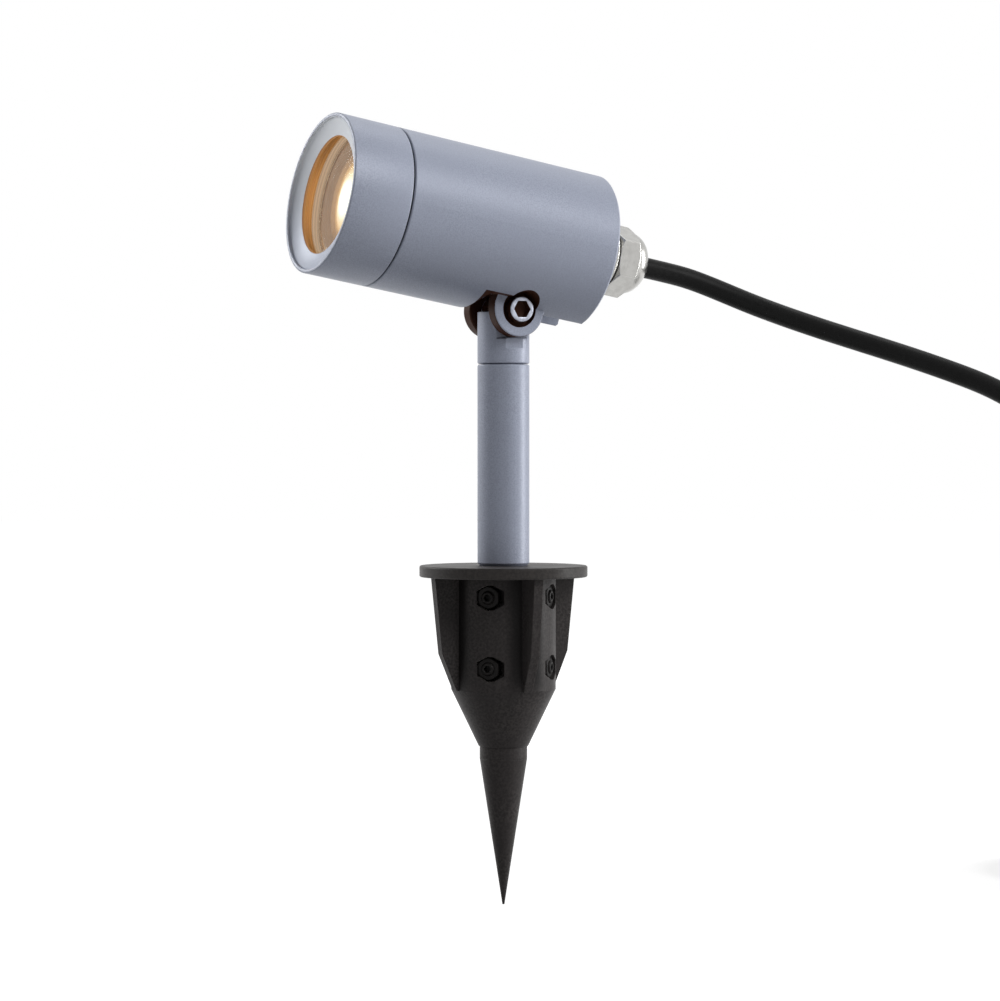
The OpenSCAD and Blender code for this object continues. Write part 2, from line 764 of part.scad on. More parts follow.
module swivel_bush() {
    bush_len = spigot_len - 3 * clip_t;
    color("#d5d5cf") translate([0, 0, seam_z - bush_len])
        ring(bush_r - run_gap / 2, spigot_r + run_gap, bush_len);
}

module spigot_clip() {
    color(zinc) translate([0, 0, spigot_end_z + clip_t + run_gap / 2])
        ring(spigot_r + clip_t / 2, spigot_r - clip_t + run_gap, clip_t);
}

module post_core() {
    color(zinc) translate([0, 0, core_end_z]) cylinder(r = core_r, h = core_top_z - core_end_z);
}

module flange_disc() {
    color("#3b3736") difference() {
        bevelled(flange_d / 2, flange_t, edge_bevel, edge_bevel);
        translate([0, 0, -eps]) cylinder(r = core_r + run_gap, h = flange_t + 2 * eps);
    }
}

module around_hub() {
    for (m = [0:1])
        for (z = [0:1])
            mirror([0, m, 0]) both_sides()
                rotate([0, 0, 45])
                    translate([0, 0, -upper_row_z - z * row_pitch])
                        rotate([0, 90, 0])
                            children();
}

module nut_pocket() {
    corner_share = 0.27;
    near_y = pocket_w / 2 - pocket_shift;
    far_y = -pocket_w / 2 - pocket_shift;
    translate([0, 0, pocket_floor_r]) linear_extrude(hub_r) polygon([
        [-pocket_h / 2, 0],
        [-pocket_h * corner_share, near_y],
        [pocket_h * corner_share, near_y],
        [pocket_h / 2, 0],
        [pocket_h / 2, -2 * pocket_shift],
        [pocket_h * corner_share, far_y],
        [-pocket_h * corner_share, far_y],
        [-pocket_h / 2, -2 * pocket_shift]
    ]);
}

module spike_hub() {
    color(moulding) difference() {
        union() {
            translate([0, 0, -hub_len]) cylinder(r = hub_r, h = hub_len);
            translate([0, 0, cone_end_z]) cylinder(d1 = cone_end_d, d2 = hub_d, h = cone_len);
            translate([0, 0, collar_end_z]) cylinder(d = point_d, h = collar_len + eps);
            for (a = [0:90:270])
                rotate([90, 0, a])
                    translate([0, 0, -fin_t / 2])
                        linear_extrude(fin_t) polygon([
                            [hub_r / 2, 0],
                            [fin_top_r, 0],
                            [fin_low_r, -fin_shoulder_z],
                            [fin_end_r, -hub_len],
                            [hub_r / 2, -hub_len]
                        ]);
        }
        translate([0, 0, core_end_z - run_gap]) cylinder(r = core_r + run_gap, h = hub_len);
        around_hub() {
            nut_pocket();
            cylinder(d = clamp_d + 2 * run_gap, h = hub_r);
        }
        translate([0, 0, collar_end_z - eps])
            cylinder(r = point_peg_r + run_gap, h = point_peg_len + 2 * eps);
    }
}

module clamping_nuts() {
    color("#33302f") around_hub() translate([0, 0, pocket_floor_r + run_gap]) difference() {
        rotate([0, 0, 30]) hexagon(nut_af, nut_t);
        translate([0, 0, -eps]) cylinder(d = clamp_d, h = nut_t + 2 * eps);
    }
}

module clamping_screws() {
    color("#4a4645") around_hub() translate([0, 0, core_r + run_gap / 2]) difference() {
        cylinder(d = clamp_d - 2 * run_gap, h = clamp_len);
        translate([0, 0, clamp_len - clamp_d / 2]) hexagon(clamp_d / 2, clamp_d);
    }
}

module spike_point() {
    color("#242222") {
        translate([0, 0, ground_z]) cylinder(r1 = tip_r, r2 = point_d / 2, h = point_len);
        translate([0, 0, collar_end_z - eps]) cylinder(r = point_peg_r, h = point_peg_len);
    }
}

function unit(v) = v / norm(v);
function heading(p, i) = unit(p[min(i + 1, len(p) - 1)] - p[max(i - 1, 0)]);
function turned(v, t) = unit(v - (v * t) * t);
function first_side(t) = abs(t[2]) > abs(t[0]) + abs(t[1]) ? [1, 0, 0] : [0, 0, 1];
function sides_of(p) = [
    for (i = 0, v = turned(first_side(heading(p, 0)), heading(p, 0)); i < len(p);
         i = i + 1, v = turned(v, heading(p, min(i, len(p) - 1)))) v
];

module tube(p, r, sides) {
    side = sides_of(p);
    last = len(p) - 1;
    corners = [
        for (i = [0:last]) let (across = cross(heading(p, i), side[i]))
            for (k = [0:sides - 1])
                p[i] + r * (cos(360 * k / sides) * side[i] + sin(360 * k / sides) * across)
    ];
    walls = [
        for (i = [0:last - 1])
            for (k = [0:sides - 1])
                let (a = i * sides + k, b = i * sides + (k + 1) % sides)
                    each [[a, a + sides, b], [b, a + sides, b + sides]]
    ];
    ends = [
        for (k = [1:sides - 2])
            each [[0, k, k + 1], [last * sides, last * sides + k + 1, last * sides + k]]
    ];
    polyhedron(corners, concat(walls, ends));
}

turns = 2 * layer_turns;
ring_step = 15;
coil_sides = 6;
tube_sides = 10;
lead_sides = 8;
function coil_radius(turn) = coil_r + turn_pitch * abs(turn - layer_turns);
function coil_height(turn) = coil_z + layer_pitch * min(1, max(0, 2 * (turn - layer_turns) + 0.5));
function coil_point(turn) = [
    coil_centre[0] + coil_radius(turn) * cos(-90 - 360 * turn),
    coil_centre[1] + coil_radius(turn) * sin(-90 - 360 * turn),
    coil_height(turn)
];
coil_path = concat(
    [coil_point(0) + [cable_d, 0, 0]],
    [for (a = [0:ring_step:360 * turns]) coil_point(a / 360)],
    [coil_point(turns) + [0, cable_d, 0]]
);
half_turn_rings = 180 / ring_step;
coil_gap = min([
    for (i = [0:len(coil_path) - 1])
        for (j = [i + half_turn_rings:1:len(coil_path) - 1])
            norm(coil_path[i] - coil_path[j])
]) - cable_d;
echo(coil_gap = coil_gap);

function path_length(p, i = 0) = i < len(p) - 1 ? norm(p[i + 1] - p[i]) + path_length(p, i + 1) : 0;
echo(cable_length = path_length(route) + path_length(coil_path) + path_length(lead_route));

module supply_cable() {
    color(black_rubber) tube(route, cable_r, tube_sides);
}

module cable_coil() {
    color(black_rubber) tube(coil_path, cable_r, coil_sides);
}

module plug_lead() {
    color(black_rubber) tube(lead_route, cable_r, tube_sides);
}

module rounded_bar(w, h, r) {
    square([w - 2 * r, h], center = true);
    square([w, h - 2 * r], center = true);
    for (x = [-1:2:1])
        for (y = [-1:2:1])
            translate([x * (w / 2 - r), y * (h / 2 - r)]) circle(r);
}

module coil_tie() {
    strands = [for (turn = [1 / 4:1:turns]) coil_radius(turn)];
    bundle_w = max(strands) - min(strands) + cable_d + 2 * seam_gap;
    bundle_h = layer_pitch + cable_d + 2 * run_gap;
    mid_r = (max(strands) + min(strands)) / 2;
    color("#2b2b2d")
        translate([coil_centre[0] - mid_r, coil_centre[1] + tie_w / 2, coil_z + layer_pitch / 2])
            rotate([90, 0, 0])
                linear_extrude(tie_w) difference() {
                    rounded_bar(bundle_w + 2 * tie_t, bundle_h + 2 * tie_t, cable_r);
                    rounded_bar(bundle_w, bundle_h, cable_r - tie_t);
                }
}

module at_plug() {
    translate(plug_start) rotate([90, 0, 90]) children();
}

module plug_boot() {
    color(black_rubber) at_plug() cylinder(r1 = cable_r + tie_t, r2 = plug_d / 5, h = boot_len);
}

module plug_body() {
    color(black_rubber) at_plug() translate([0, 0, boot_len]) difference() {
        union() {
            cylinder(r1 = plug_d / 4, r2 = plug_d / 2, h = plug_len / 3);
            translate([0, 0, plug_len / 3]) cylinder(d = plug_d, h = plug_len * 2 / 3);
        }
        both_sides() translate([plug_pin_pitch / 2, 0, plug_len - plug_pin_d])
            cylinder(r = plug_root_r + run_gap / 2, h = plug_pin_d + eps);
        for (m = [0:1]) mirror([0, m, 0])
            translate([-plug_pin_d / 2, plug_d / 2 - tie_t, plug_len / 2])
                cube([plug_pin_d, tie_t + eps, plug_len]);
    }
}

module plug_pins() {
    tip_z = plug_pin_len - plug_pin_d / 4;
    color(nickel) at_plug() both_sides() translate([plug_pin_pitch / 2, 0, boot_len + plug_len]) {
        translate([0, 0, -plug_pin_d]) cylinder(r = plug_root_r, h = plug_pin_d + seam_gap + eps);
        translate([0, 0, seam_gap]) cylinder(d = plug_pin_d, h = tip_z - seam_gap);
        translate([0, 0, tip_z]) cylinder(d1 = plug_pin_d, d2 = plug_pin_d / 2, h = plug_pin_d / 4);
    }
}

module plug_earth_clips() {
    color(nickel) at_plug() for (m = [0:1]) mirror([0, m, 0])
        translate([-plug_pin_d / 2 + run_gap, plug_d / 2 - tie_t, boot_len + plug_len / 2])
            cube([plug_pin_d - 2 * run_gap, tie_t / 2, plug_len / 2]);
}

head_housing();
bezel_ring();
bezel_oring();
lens_glass();
glass_gasket();
lamp_reflector();
lamp_rings();
lamp_lens();
lamp_base();
lamp_pins();
lamp_holder();
holder_strap();
strap_screws();
terminal_block();
core_wires();
lamp_leads();
gland_body();
gland_cap_nut();
gland_seal();
gland_washer();
gland_lock_nut();
cable_tail();
swivel_stem();
pivot_screws();
pivot_washers();
post_tube();
swivel_bush();
spigot_clip();
post_core();
flange_disc();
spike_hub();
clamping_nuts();
clamping_screws();
spike_point();
supply_cable();
cable_coil();
coil_tie();
plug_lead();
plug_body();
plug_boot();
plug_pins();
plug_earth_clips();
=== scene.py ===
# %% [markdown]
# # A landscape spotlight on a ground spike
# The light is a painted aluminium head that tilts on a round post, over a
# dark plastic spike with four fins. A rubber flex leaves the head through a
# nickel gland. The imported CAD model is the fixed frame: each cell below
# either gives one of its nodes a better finish, or models a finer piece that
# stands for a node and moves with the same body.

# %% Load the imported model
import math

import bpy
from mathutils import Matrix, Vector


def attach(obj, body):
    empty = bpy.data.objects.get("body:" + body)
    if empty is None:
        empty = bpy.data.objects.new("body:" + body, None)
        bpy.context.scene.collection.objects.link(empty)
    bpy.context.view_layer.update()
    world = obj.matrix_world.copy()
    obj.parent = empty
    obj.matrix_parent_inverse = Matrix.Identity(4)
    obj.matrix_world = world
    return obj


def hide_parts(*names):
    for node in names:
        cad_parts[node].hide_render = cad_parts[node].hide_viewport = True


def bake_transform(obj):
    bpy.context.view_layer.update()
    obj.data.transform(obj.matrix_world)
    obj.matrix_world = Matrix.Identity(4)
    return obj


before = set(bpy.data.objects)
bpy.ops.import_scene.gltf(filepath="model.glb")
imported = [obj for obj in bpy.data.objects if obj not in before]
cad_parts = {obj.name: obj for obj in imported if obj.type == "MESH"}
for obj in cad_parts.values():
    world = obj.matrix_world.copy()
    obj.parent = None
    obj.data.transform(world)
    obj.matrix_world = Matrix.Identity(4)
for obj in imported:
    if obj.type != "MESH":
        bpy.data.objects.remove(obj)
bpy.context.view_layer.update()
MM = 0.001

# %% [markdown]
# ## The camera
# The camera stands where the photograph was taken from: a little above the
# ground disc, to the right of the head and about 1.2 m away, with a long
# lens. A matrix built from its own three axes places it exactly, and no
# helper that reads the render size is needed.

# %% Set the camera
CAMERA_AZIMUTH = math.radians(63.35)
CAMERA_DISTANCE = 1.178
CAMERA_HEIGHT = 0.0496
CAMERA_PITCH = math.radians(1.014)
CAMERA_YAW = math.radians(-0.063)
SENSOR_WIDTH = 36
FOCAL_SHARE = 3.12

across = Vector((math.cos(CAMERA_AZIMUTH), math.sin(CAMERA_AZIMUTH), 0))
ahead = Vector((-math.sin(CAMERA_AZIMUTH), math.cos(CAMERA_AZIMUTH), 0))
upward = Vector((0, 0, 1))
camera_place = upward * CAMERA_HEIGHT - ahead * CAMERA_DISTANCE
camera_right = across * math.cos(CAMERA_YAW) - ahead * math.sin(CAMERA_YAW)
level = ahead * math.cos(CAMERA_YAW) + across * math.sin(CAMERA_YAW)
camera_look = level * math.cos(CAMERA_PITCH) - upward * math.sin(CAMERA_PITCH)
camera_up = camera_right.cross(camera_look)

camera_data = bpy.data.cameras.new("camera")
camera_data.sensor_fit = "HORIZONTAL"
camera_data.sensor_width = SENSOR_WIDTH
camera_data.lens = SENSOR_WIDTH * FOCAL_SHARE
camera = bpy.data.objects.new("camera", camera_data)
bpy.context.scene.collection.objects.link(camera)
axes = Matrix((camera_right, camera_up, -camera_look)).transposed()
camera.matrix_world = Matrix.Translation(camera_place) @ axes.to_4x4()
bpy.context.scene.camera = camera
print("camera at", [round(value, 3) for value in camera_place])

# %% [markdown]
# ## Small helpers
# An operator works on whatever is selected, so every step starts by letting
# go of everything. The head leans back by 10 degrees, and most of its pieces
# are round, so they are modelled upright at the origin and then set into the
# head's own frame by one matrix. Applying it leaves the object at the origin
# with its place in its mesh, as a CAD node has.

# %% Selecting and placing
PIVOT = Vector((0, 0, 100.4 * MM))
PIVOT_DROP = 28 * MM
HEAD_LEAN = math.radians(10)
head_front = Vector((0, -math.cos(HEAD_LEAN), math.sin(HEAD_LEAN)))
head_up = Vector((0, math.sin(HEAD_LEAN), math.cos(HEAD_LEAN)))
head_turn = Matrix((Vector((1, 0, 0)), head_up, head_front)).transposed().to_4x4()
HEAD = Matrix.Translation(PIVOT + head_up * PIVOT_DROP) @ head_turn


def let_go():
    if bpy.context.mode != "OBJECT":
        bpy.ops.object.mode_set(mode="OBJECT")
    bpy.ops.object.select_all(action="DESELECT")


def take(piece):
    let_go()
    piece.select_set(True)
    bpy.context.view_layer.objects.active = piece


def edit(piece, select="SELECT"):
    take(piece)
    bpy.ops.object.mode_set(mode="EDIT")
    bpy.ops.mesh.select_all(action=select)


def settle(piece, matrix=None):
    """Applies the piece's place to its mesh, in the head's frame or any other."""
    take(piece)
    if matrix is not None:
        piece.matrix_world = matrix @ piece.matrix_world
        bpy.context.view_layer.update()
    bpy.ops.object.transform_apply(location=True, rotation=True, scale=True)
    return piece


def clean(piece):
    edit(piece)
    bpy.ops.mesh.remove_doubles(threshold=1e-6)
    bpy.ops.mesh.normals_make_consistent(inside=False)
    let_go()
    return piece


def apply_modifier(piece, kind, **settings):
    take(piece)
    modifier = piece.modifiers.new(kind.lower(), kind)
    for key, value in settings.items():
        setattr(modifier, key, value)
    bpy.ops.object.modifier_apply(modifier=modifier.name)
    return piece


def soften(piece, width, angle=28):
    """Rounds the piece's sharp edges and shades its curves smooth."""
    apply_modifier(
        piece, "BEVEL", width=width, segments=2, limit_method="ANGLE",
        angle_limit=math.radians(angle), use_clamp_overlap=True,
    )
    return smooth(piece)


def smooth(piece, angle=32):
    take(piece)
    bpy.ops.object.shade_smooth_by_angle(angle=math.radians(angle))
    return piece


def cut(piece, *cutters, how="DIFFERENCE"):
    """Takes the cutters out of the piece, or joins them, and removes them."""
    for cutter in cutters:
        apply_modifier(piece, "BOOLEAN", operation=how, object=cutter, solver="EXACT")
        bpy.data.objects.remove(cutter)
    return piece


print("the head's axis points to", [round(value, 3) for value in head_front])

# %% [markdown]
# ## Turned pieces
# A lathe turns most of this light. The same happens here: one vertex is
# extruded point by point along half of the section, in millimetres of
# radius and height, and the line is spun about the Z axis. Merging the seam
# and recalculating the normals leaves a closed shell.

# %% The lathe and the other blanks
def lathe(name, outline, steps=96, closed=True):
    let_go()
    bpy.ops.mesh.primitive_plane_add(size=MM)
    piece = bpy.context.object
    piece.name = piece.data.name = name
    edit(piece)
    bpy.ops.mesh.merge(type="CENTER")
    walk = [(0, 0)] + list(outline) + ([outline[0]] if closed else [])
    bpy.ops.transform.translate(value=(walk[1][0] * MM, 0, walk[1][1] * MM))
    for (r0, z0), (r1, z1) in zip(walk[1:], walk[2:]):
        step = ((r1 - r0) * MM, 0, (z1 - z0) * MM)
        bpy.ops.mesh.extrude_region_move(TRANSFORM_OT_translate={"value": step})
    bpy.ops.mesh.select_all(action="SELECT")
    bpy.ops.mesh.spin(steps=steps, angle=2 * math.pi, center=(0, 0, 0), axis=(0, 0, 1))
    return clean(piece)


def prism(name, flats, height, bottom=0, sides=6, turn=0):
    """A bar with flat sides, upright on Z, sizes in millimetres."""
    let_go()
    bpy.ops.mesh.primitive_cylinder_add(
        vertices=sides, radius=flats * MM / 2 / math.cos(math.pi / sides),
        depth=height * MM, location=(0, 0, (bottom + height / 2) * MM),
        rotation=(0, 0, math.radians(turn)),
    )
    piece = bpy.context.object
    piece.name = piece.data.name = name
    return settle(piece)


def block(name, low, high):
    """A bar between two corners, in millimetres."""
    let_go()
    size = [(b - a) * MM for a, b in zip(low, high)]
    middle = [(a + b) * MM / 2 for a, b in zip(low, high)]
    bpy.ops.mesh.primitive_cube_add(size=1, location=middle, scale=size)
    piece = bpy.context.object
    piece.name = piece.data.name = name
    return settle(piece)


def twin(piece, name, matrix):
    """A copy with its own mesh, moved by the matrix."""
    copy = piece.copy()
    copy.data = piece.data.copy()
    copy.name = copy.data.name = name
    bpy.context.scene.collection.objects.link(copy)
    return settle(copy, matrix)


def join(name, pieces):
    take(pieces[0])
    for piece in pieces:
        piece.select_set(True)
    bpy.ops.object.join()
    pieces[0].name = pieces[0].data.name = name
    return pieces[0]


def arc(centre, radius, start, end, count):
    """Points of an arc in the section, from start to end in degrees."""
    turns = [math.radians(start + (end - start) * i / count) for i in range(count + 1)]
    return [
        (centre[0] + radius * math.cos(t), centre[1] + radius * math.sin(t))
        for t in turns
    ]


def dress(piece, body, finish, slot, *nodes):
    """Gives a new piece its finish, its body and the nodes that it stands for."""
    piece.data.materials.clear()
    piece.data.materials.append(finish)
    if body:
        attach(piece, body)
    if nodes:
        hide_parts(*nodes)
    print(piece.name, "has", len(piece.data.polygons), "faces")
    return piece


def paint(finish, *nodes):
    """Gives CAD nodes a finish on their own material slots."""
    for name in nodes:
        for material_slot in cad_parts[name].material_slots:
            material_slot.material = finish


# %% [markdown]
# ## The flex
# The lead is one length of round black rubber flex, 8 mm thick. It leaves
# the gland, sags to the ground, and the length that the photograph doesn't
# show lies in a tied coil outside the view, with its plug beside it. The
# route repeats the points of the CAD source. A smooth curve through them is
# sampled four times between each pair, and its bends are evened out.

# %% The route of the flex
FLEX_DIAMETER = 8 * MM
GROUND = -124
GLAND_TO_COIL = [
    (0, 59.44, 118.35), (0, 71.1, 116.3), (1, 81, 114), (5, 92, 109.5), (12, 103, 104),
    (21, 114, 98.7), (32, 125, 93.4), (44, 136, 88.2), (56, 147, 82.9),
    (67.6, 157.6, 77.4), (78.5, 168, 71.4), (88.1, 177.7, 63.2), (95.6, 186, 52.5),
    (101.2, 193, 39.2), (105.2, 198.9, 23.5), (107.7, 203.5, 5.5),
    (108.9, 207.1, -15), (109.2, 209.8, -36.5), (108.4, 211.7, -58),
    (105.5, 213, -77.3), (99.8, 213.8, -94.2), (90.8, 214.1, -107.5),
    (78.8, 214.2, -115.8), (65, 214.2, -118.8), (54, 214.2, -118.8),
]
COIL_TO_PLUG = [
    (-7.8, 276, -110.1), (-7.8, 287, -110.1), (-7.8, 297.5, -110.3),
    (-7.8, 308, -110.4), (-6.6, 317.1, -110), (-3.1, 325.5, -109.3),
    (2.5, 332.8, -108.3), (9.7, 338.3, -107.1), (18.1, 341.8, -106),
    (27.2, 343, -105), (34, 343, -105),
]
COIL_CENTRE = (46, 268)
COIL_FLOOR = -118.8
COIL_RADIUS = 39.5
TURN_PITCH, LAYER_PITCH = 8.8, 8.7
COIL_TURNS = 3.25
LAYER_TURNS = 1.625
STEPS_A_TURN = 24


def coil_point(turn):
    radius = COIL_RADIUS + TURN_PITCH * abs(turn - LAYER_TURNS)
    rise = LAYER_PITCH * min(1, max(0, 2 * (turn - LAYER_TURNS) + 0.5))
    angle = math.radians(-90 - 360 * turn)
    return (
        COIL_CENTRE[0] + radius * math.cos(angle),
        COIL_CENTRE[1] + radius * math.sin(angle),
        COIL_FLOOR + rise,
    )


def through(points, between=4):
    """A smooth line through the points, sampled between each pair."""
    line = []
    for i in range(len(points) - 1):
        a = points[max(i - 1, 0)]
        b, c = points[i], points[i + 1]
        d = points[min(i + 2, len(points) - 1)]
        for k in range(between):
            t = k / between
            line.append(0.5 * (
                2 * b + (c - a) * t + (2 * a - 5 * b + 4 * c - d) * t ** 2
                + (3 * b - a - 3 * c + d) * t ** 3
            ))
    return line + [points[-1]]


def relaxed(line, passes=4):
    """The line with its bends evened out, as stiff rubber evens them; its ends stay."""
    for _ in range(passes):
        inner = [(a + 2 * b + c) / 4 for a, b, c in zip(line, line[1:], line[2:])]
        line = [line[0]] + inner + [line[-1]]
    return line


coil = [coil_point(i / STEPS_A_TURN) for i in range(int(COIL_TURNS * STEPS_A_TURN) + 1)]
knots = [Vector(p) * MM for p in GLAND_TO_COIL[:-1] + coil + COIL_TO_PLUG[1:]]
flex_line = relaxed(through(knots))

# %% [markdown]
# ## The flex's mesh
# A curve with a round bevel is the quickest way to a tube of even thickness.
# It is converted to a mesh, because the first stretch has to bend as the head
# tilts, and the conversion keeps a UV map that runs along the tube.

# %% Make the tube
curve = bpy.data.curves.new("flex", "CURVE")
curve.dimensions = "3D"
curve.bevel_depth = FLEX_DIAMETER / 2
curve.bevel_resolution = 5
curve.use_fill_caps = True
spline = curve.splines.new("POLY")
spline.points.add(len(flex_line) - 1)
for point, place in zip(spline.points, flex_line):
    point.co = (*place, 1)
flex = bpy.data.objects.new("flex", curve)
bpy.context.scene.collection.objects.link(flex)
take(flex)
bpy.ops.object.convert(target="MESH")
flex = bpy.context.object
smooth(flex)
print("flex mesh", len(flex.data.vertices), "vertices, UV", [u.name for u in flex.data.uv_layers])

# %% [markdown]
# ## Helpers for node trees
# Every finish is a small tree of shader nodes, and so are the floor and the
# world. Short functions that add a node and hand back its output socket keep
# those trees readable, because each line then says one thing about the look.

# %% Helpers for node trees
def colour(red, green, blue):
    """A screen colour from 0 to 255, as the linear colour that a shader takes."""
    def linear(value):
        share = value / 255
        return share / 12.92 if share <= 0.04045 else ((share + 0.055) / 1.055) ** 2.4
    return (linear(red), linear(green), linear(blue), 1)


def feed(item, inputs):
    """Links a socket, or sets a constant, on each named input of the node."""
    for key, value in inputs.items():
        if isinstance(value, bpy.types.NodeSocket):
            item.id_data.links.new(value, item.inputs[key])
        else:
            item.inputs[key].default_value = value


def add_node(tree, kind, inputs=None, **settings):
    item = tree.nodes.new("ShaderNode" + kind)
    for key, value in settings.items():
        setattr(item, key, value)
    feed(item, inputs or {})
    return item


def mixed(tree, factor, first, second):
    """The colour socket of a mix between two colours."""
    return add_node(
        tree, "Mix", {0: factor, 6: first, 7: second}, data_type="RGBA",
    ).outputs[2]


def maths(tree, how, first, second=0.0):
    return add_node(tree, "Math", {0: first, 1: second}, operation=how).outputs[0]


def times(tree, first, second):
    return maths(tree, "MULTIPLY", first, second)


def below(tree, value, limit):
    """1 where the value lies under the limit, else 0."""
    return maths(tree, "LESS_THAN", value, limit)


def above(tree, value, limit):
    return maths(tree, "GREATER_THAN", value, limit)


def within(tree, value, low, high):
    return times(tree, above(tree, value, low), below(tree, value, high))


def length_of(tree, first, second):
    return maths(tree, "SQRT", maths(
        tree, "ADD", times(tree, first, first), times(tree, second, second)))


def ranged(tree, value, low, high, start=0.0, end=1.0, how="SMOOTHSTEP"):
    """The value's place between low and high, as a number between start and end."""
    return add_node(
        tree, "MapRange",
        {"Value": value, "From Min": low, "From Max": high, "To Min": start, "To Max": end},
        interpolation_type=how,
    ).outputs["Result"]


def ramp(tree, value, stops):
    item = add_node(tree, "ValToRGB", {"Fac": value})
    elements = item.color_ramp.elements
    while len(elements) < len(stops):
        elements.new(0.5)
    for element, (place, shade_colour) in zip(elements, stops):
        element.position = place
        element.color = shade_colour
    return item.outputs["Color"]


def start_group(name, inputs, outputs):
    tree = bpy.data.node_groups.new(name, "ShaderNodeTree")
    for title, kind, value in inputs:
        socket = tree.interface.new_socket(title, in_out="INPUT", socket_type=kind)
        socket.default_value = value
    for title, kind in outputs:
        tree.interface.new_socket(title, in_out="OUTPUT", socket_type=kind)
    start = tree.nodes.new("NodeGroupInput")
    end = tree.nodes.new("NodeGroupOutput")
    return tree, start.outputs, end.inputs


def use_group(tree, group, **inputs):
    item = tree.nodes.new("ShaderNodeGroup")
    item.node_tree = group
    feed(item, {key.replace("_", " "): value for key, value in inputs.items()})
    return item.outputs


def start_finish(name):
    material = bpy.data.materials.new(name)
    material.use_nodes = True
    tree = material.node_tree
    return material, tree, tree.nodes["Principled BSDF"]


print("node helpers ready, white is", [round(value, 3) for value in colour(255, 255, 255)])

# %% [markdown]
# ## Floor, backdrop and lights
# The photograph shows the light against plain white. A pale floor under the
# spike takes its soft shadow, and it and the world look white to the camera
# and in reflections, while a dim plain world and four soft lamps light the
# object.

# %% The floor
FLOOR_TONE, FLOOR_GLOW = 0.45, 0.72
GLOW_NEAR, GLOW_FAR = 0.3, 0.9
let_go()
bpy.ops.mesh.primitive_circle_add(
    vertices=96, radius=6, fill_type="NGON", location=(0, 0, GROUND * MM),
)
floor = bpy.context.object
floor.name = "floor"
floor_finish, tree, shader = start_finish("floor")
tree.nodes.remove(shader)
spot = add_node(tree, "NewGeometry").outputs["Position"]
spread = add_node(tree, "VectorMath", {0: spot}, operation="LENGTH").outputs["Value"]
fade = ranged(tree, spread, GLOW_NEAR, GLOW_FAR, FLOOR_GLOW, 1)
rays = add_node(tree, "LightPath").outputs
seen = maths(tree, "MAXIMUM", rays["Is Camera Ray"], rays["Is Glossy Ray"])
glow = add_node(tree, "Emission", {"Color": (1, 1, 1, 1), "Strength": times(tree, seen, fade)})
shade = add_node(tree, "BsdfDiffuse", {"Color": (FLOOR_TONE, FLOOR_TONE, FLOOR_TONE, 1)})
both = add_node(tree, "AddShader", {0: shade.outputs[0], 1: glow.outputs[0]})
feed(tree.nodes["Material Output"], {"Surface": both.outputs[0]})
floor.data.materials.append(floor_finish)
print("floor at", GROUND, "mm")

# %% The world and the lamps
WORLD_LEVEL = 0.03
world = bpy.data.worlds.new("studio")
bpy.context.scene.world = world
world.use_nodes = True
tree = world.node_tree
rays = add_node(tree, "LightPath").outputs
seen = maths(tree, "MAXIMUM", rays["Is Camera Ray"], rays["Is Glossy Ray"])
seen = maths(tree, "MAXIMUM", seen, rays["Is Transmission Ray"])
strength = ranged(tree, seen, 0, 1, WORLD_LEVEL, 1, how="LINEAR")
feed(tree.nodes["Background"], {"Color": (1, 1, 1, 1), "Strength": strength})
LAMP_REACH = 1.7
LAMP_TARGET = Vector((0, 0, 60 * MM))


def lamp(name, turn, rise, power, width, height=None):
    """A soft lamp, turned in degrees to the camera's right and raised from level."""
    turn, rise = math.radians(turn), math.radians(rise)
    level_way = across * math.sin(turn) - ahead * math.cos(turn)
    way = level_way * math.cos(rise) + upward * math.sin(rise)
    place = LAMP_TARGET + way * LAMP_REACH
    data = bpy.data.lights.new(name, "AREA")
    data.energy = power
    data.shape = "RECTANGLE"
    data.size = width
    data.size_y = height or width
    item = bpy.data.objects.new(name, data)
    bpy.context.scene.collection.objects.link(item)
    item.location = place
    item.rotation_euler = (LAMP_TARGET - place).to_track_quat("-Z", "Y").to_euler()
    print(name, "at", [round(value, 2) for value in place])


lamp("key_lamp", 48, 38, 14, 0.8)
lamp("side_lamp", 98, 6, 26, 0.3, 1.2)
lamp("left_lamp", -116, 24, 18, 0.8)
lamp("top_lamp", 165, 68, 5, 0.8)

bpy.context.scene.view_settings.view_transform = "Standard"

# %% [markdown]
# ## Shared effects for the finishes
# Paint, plastic, rubber and metal all need the same few effects: a fine
# grain, slow clouds of tone, and a mask that finds the edges. Each one is a
# node group with named inputs, built once. The groups read Object
# coordinates in metres, so a scale of 2000 is a grain of half a millimetre.

# %% The grain group
FLOAT, NORMAL = "NodeSocketFloat", "NodeSocketVector"
grain_group, given, result = start_group(
    "grain", [("Scale", FLOAT, 2000.0), ("Cloud Scale", FLOAT, 60.0)],
    [("Speck", FLOAT), ("Fine", FLOAT), ("Cloud", FLOAT)],
)
where = add_node(grain_group, "TexCoord").outputs["Object"]
fine = add_node(
    grain_group, "TexNoise", {"Vector": where, "Scale": given["Scale"], "Detail": 2.0},
)
speck = add_node(
    grain_group, "TexNoise",
    {"Vector": where, "Scale": times(grain_group, given["Scale"], 0.4), "Detail": 4.0},
)
cloud = add_node(
    grain_group, "TexNoise", {"Vector": where, "Scale": given["Cloud Scale"], "Detail": 3.0},
)
grain_group.links.new(speck.outputs["Fac"], result["Speck"])
grain_group.links.new(fine.outputs["Fac"], result["Fine"])
grain_group.links.new(cloud.outputs["Fac"], result["Cloud"])

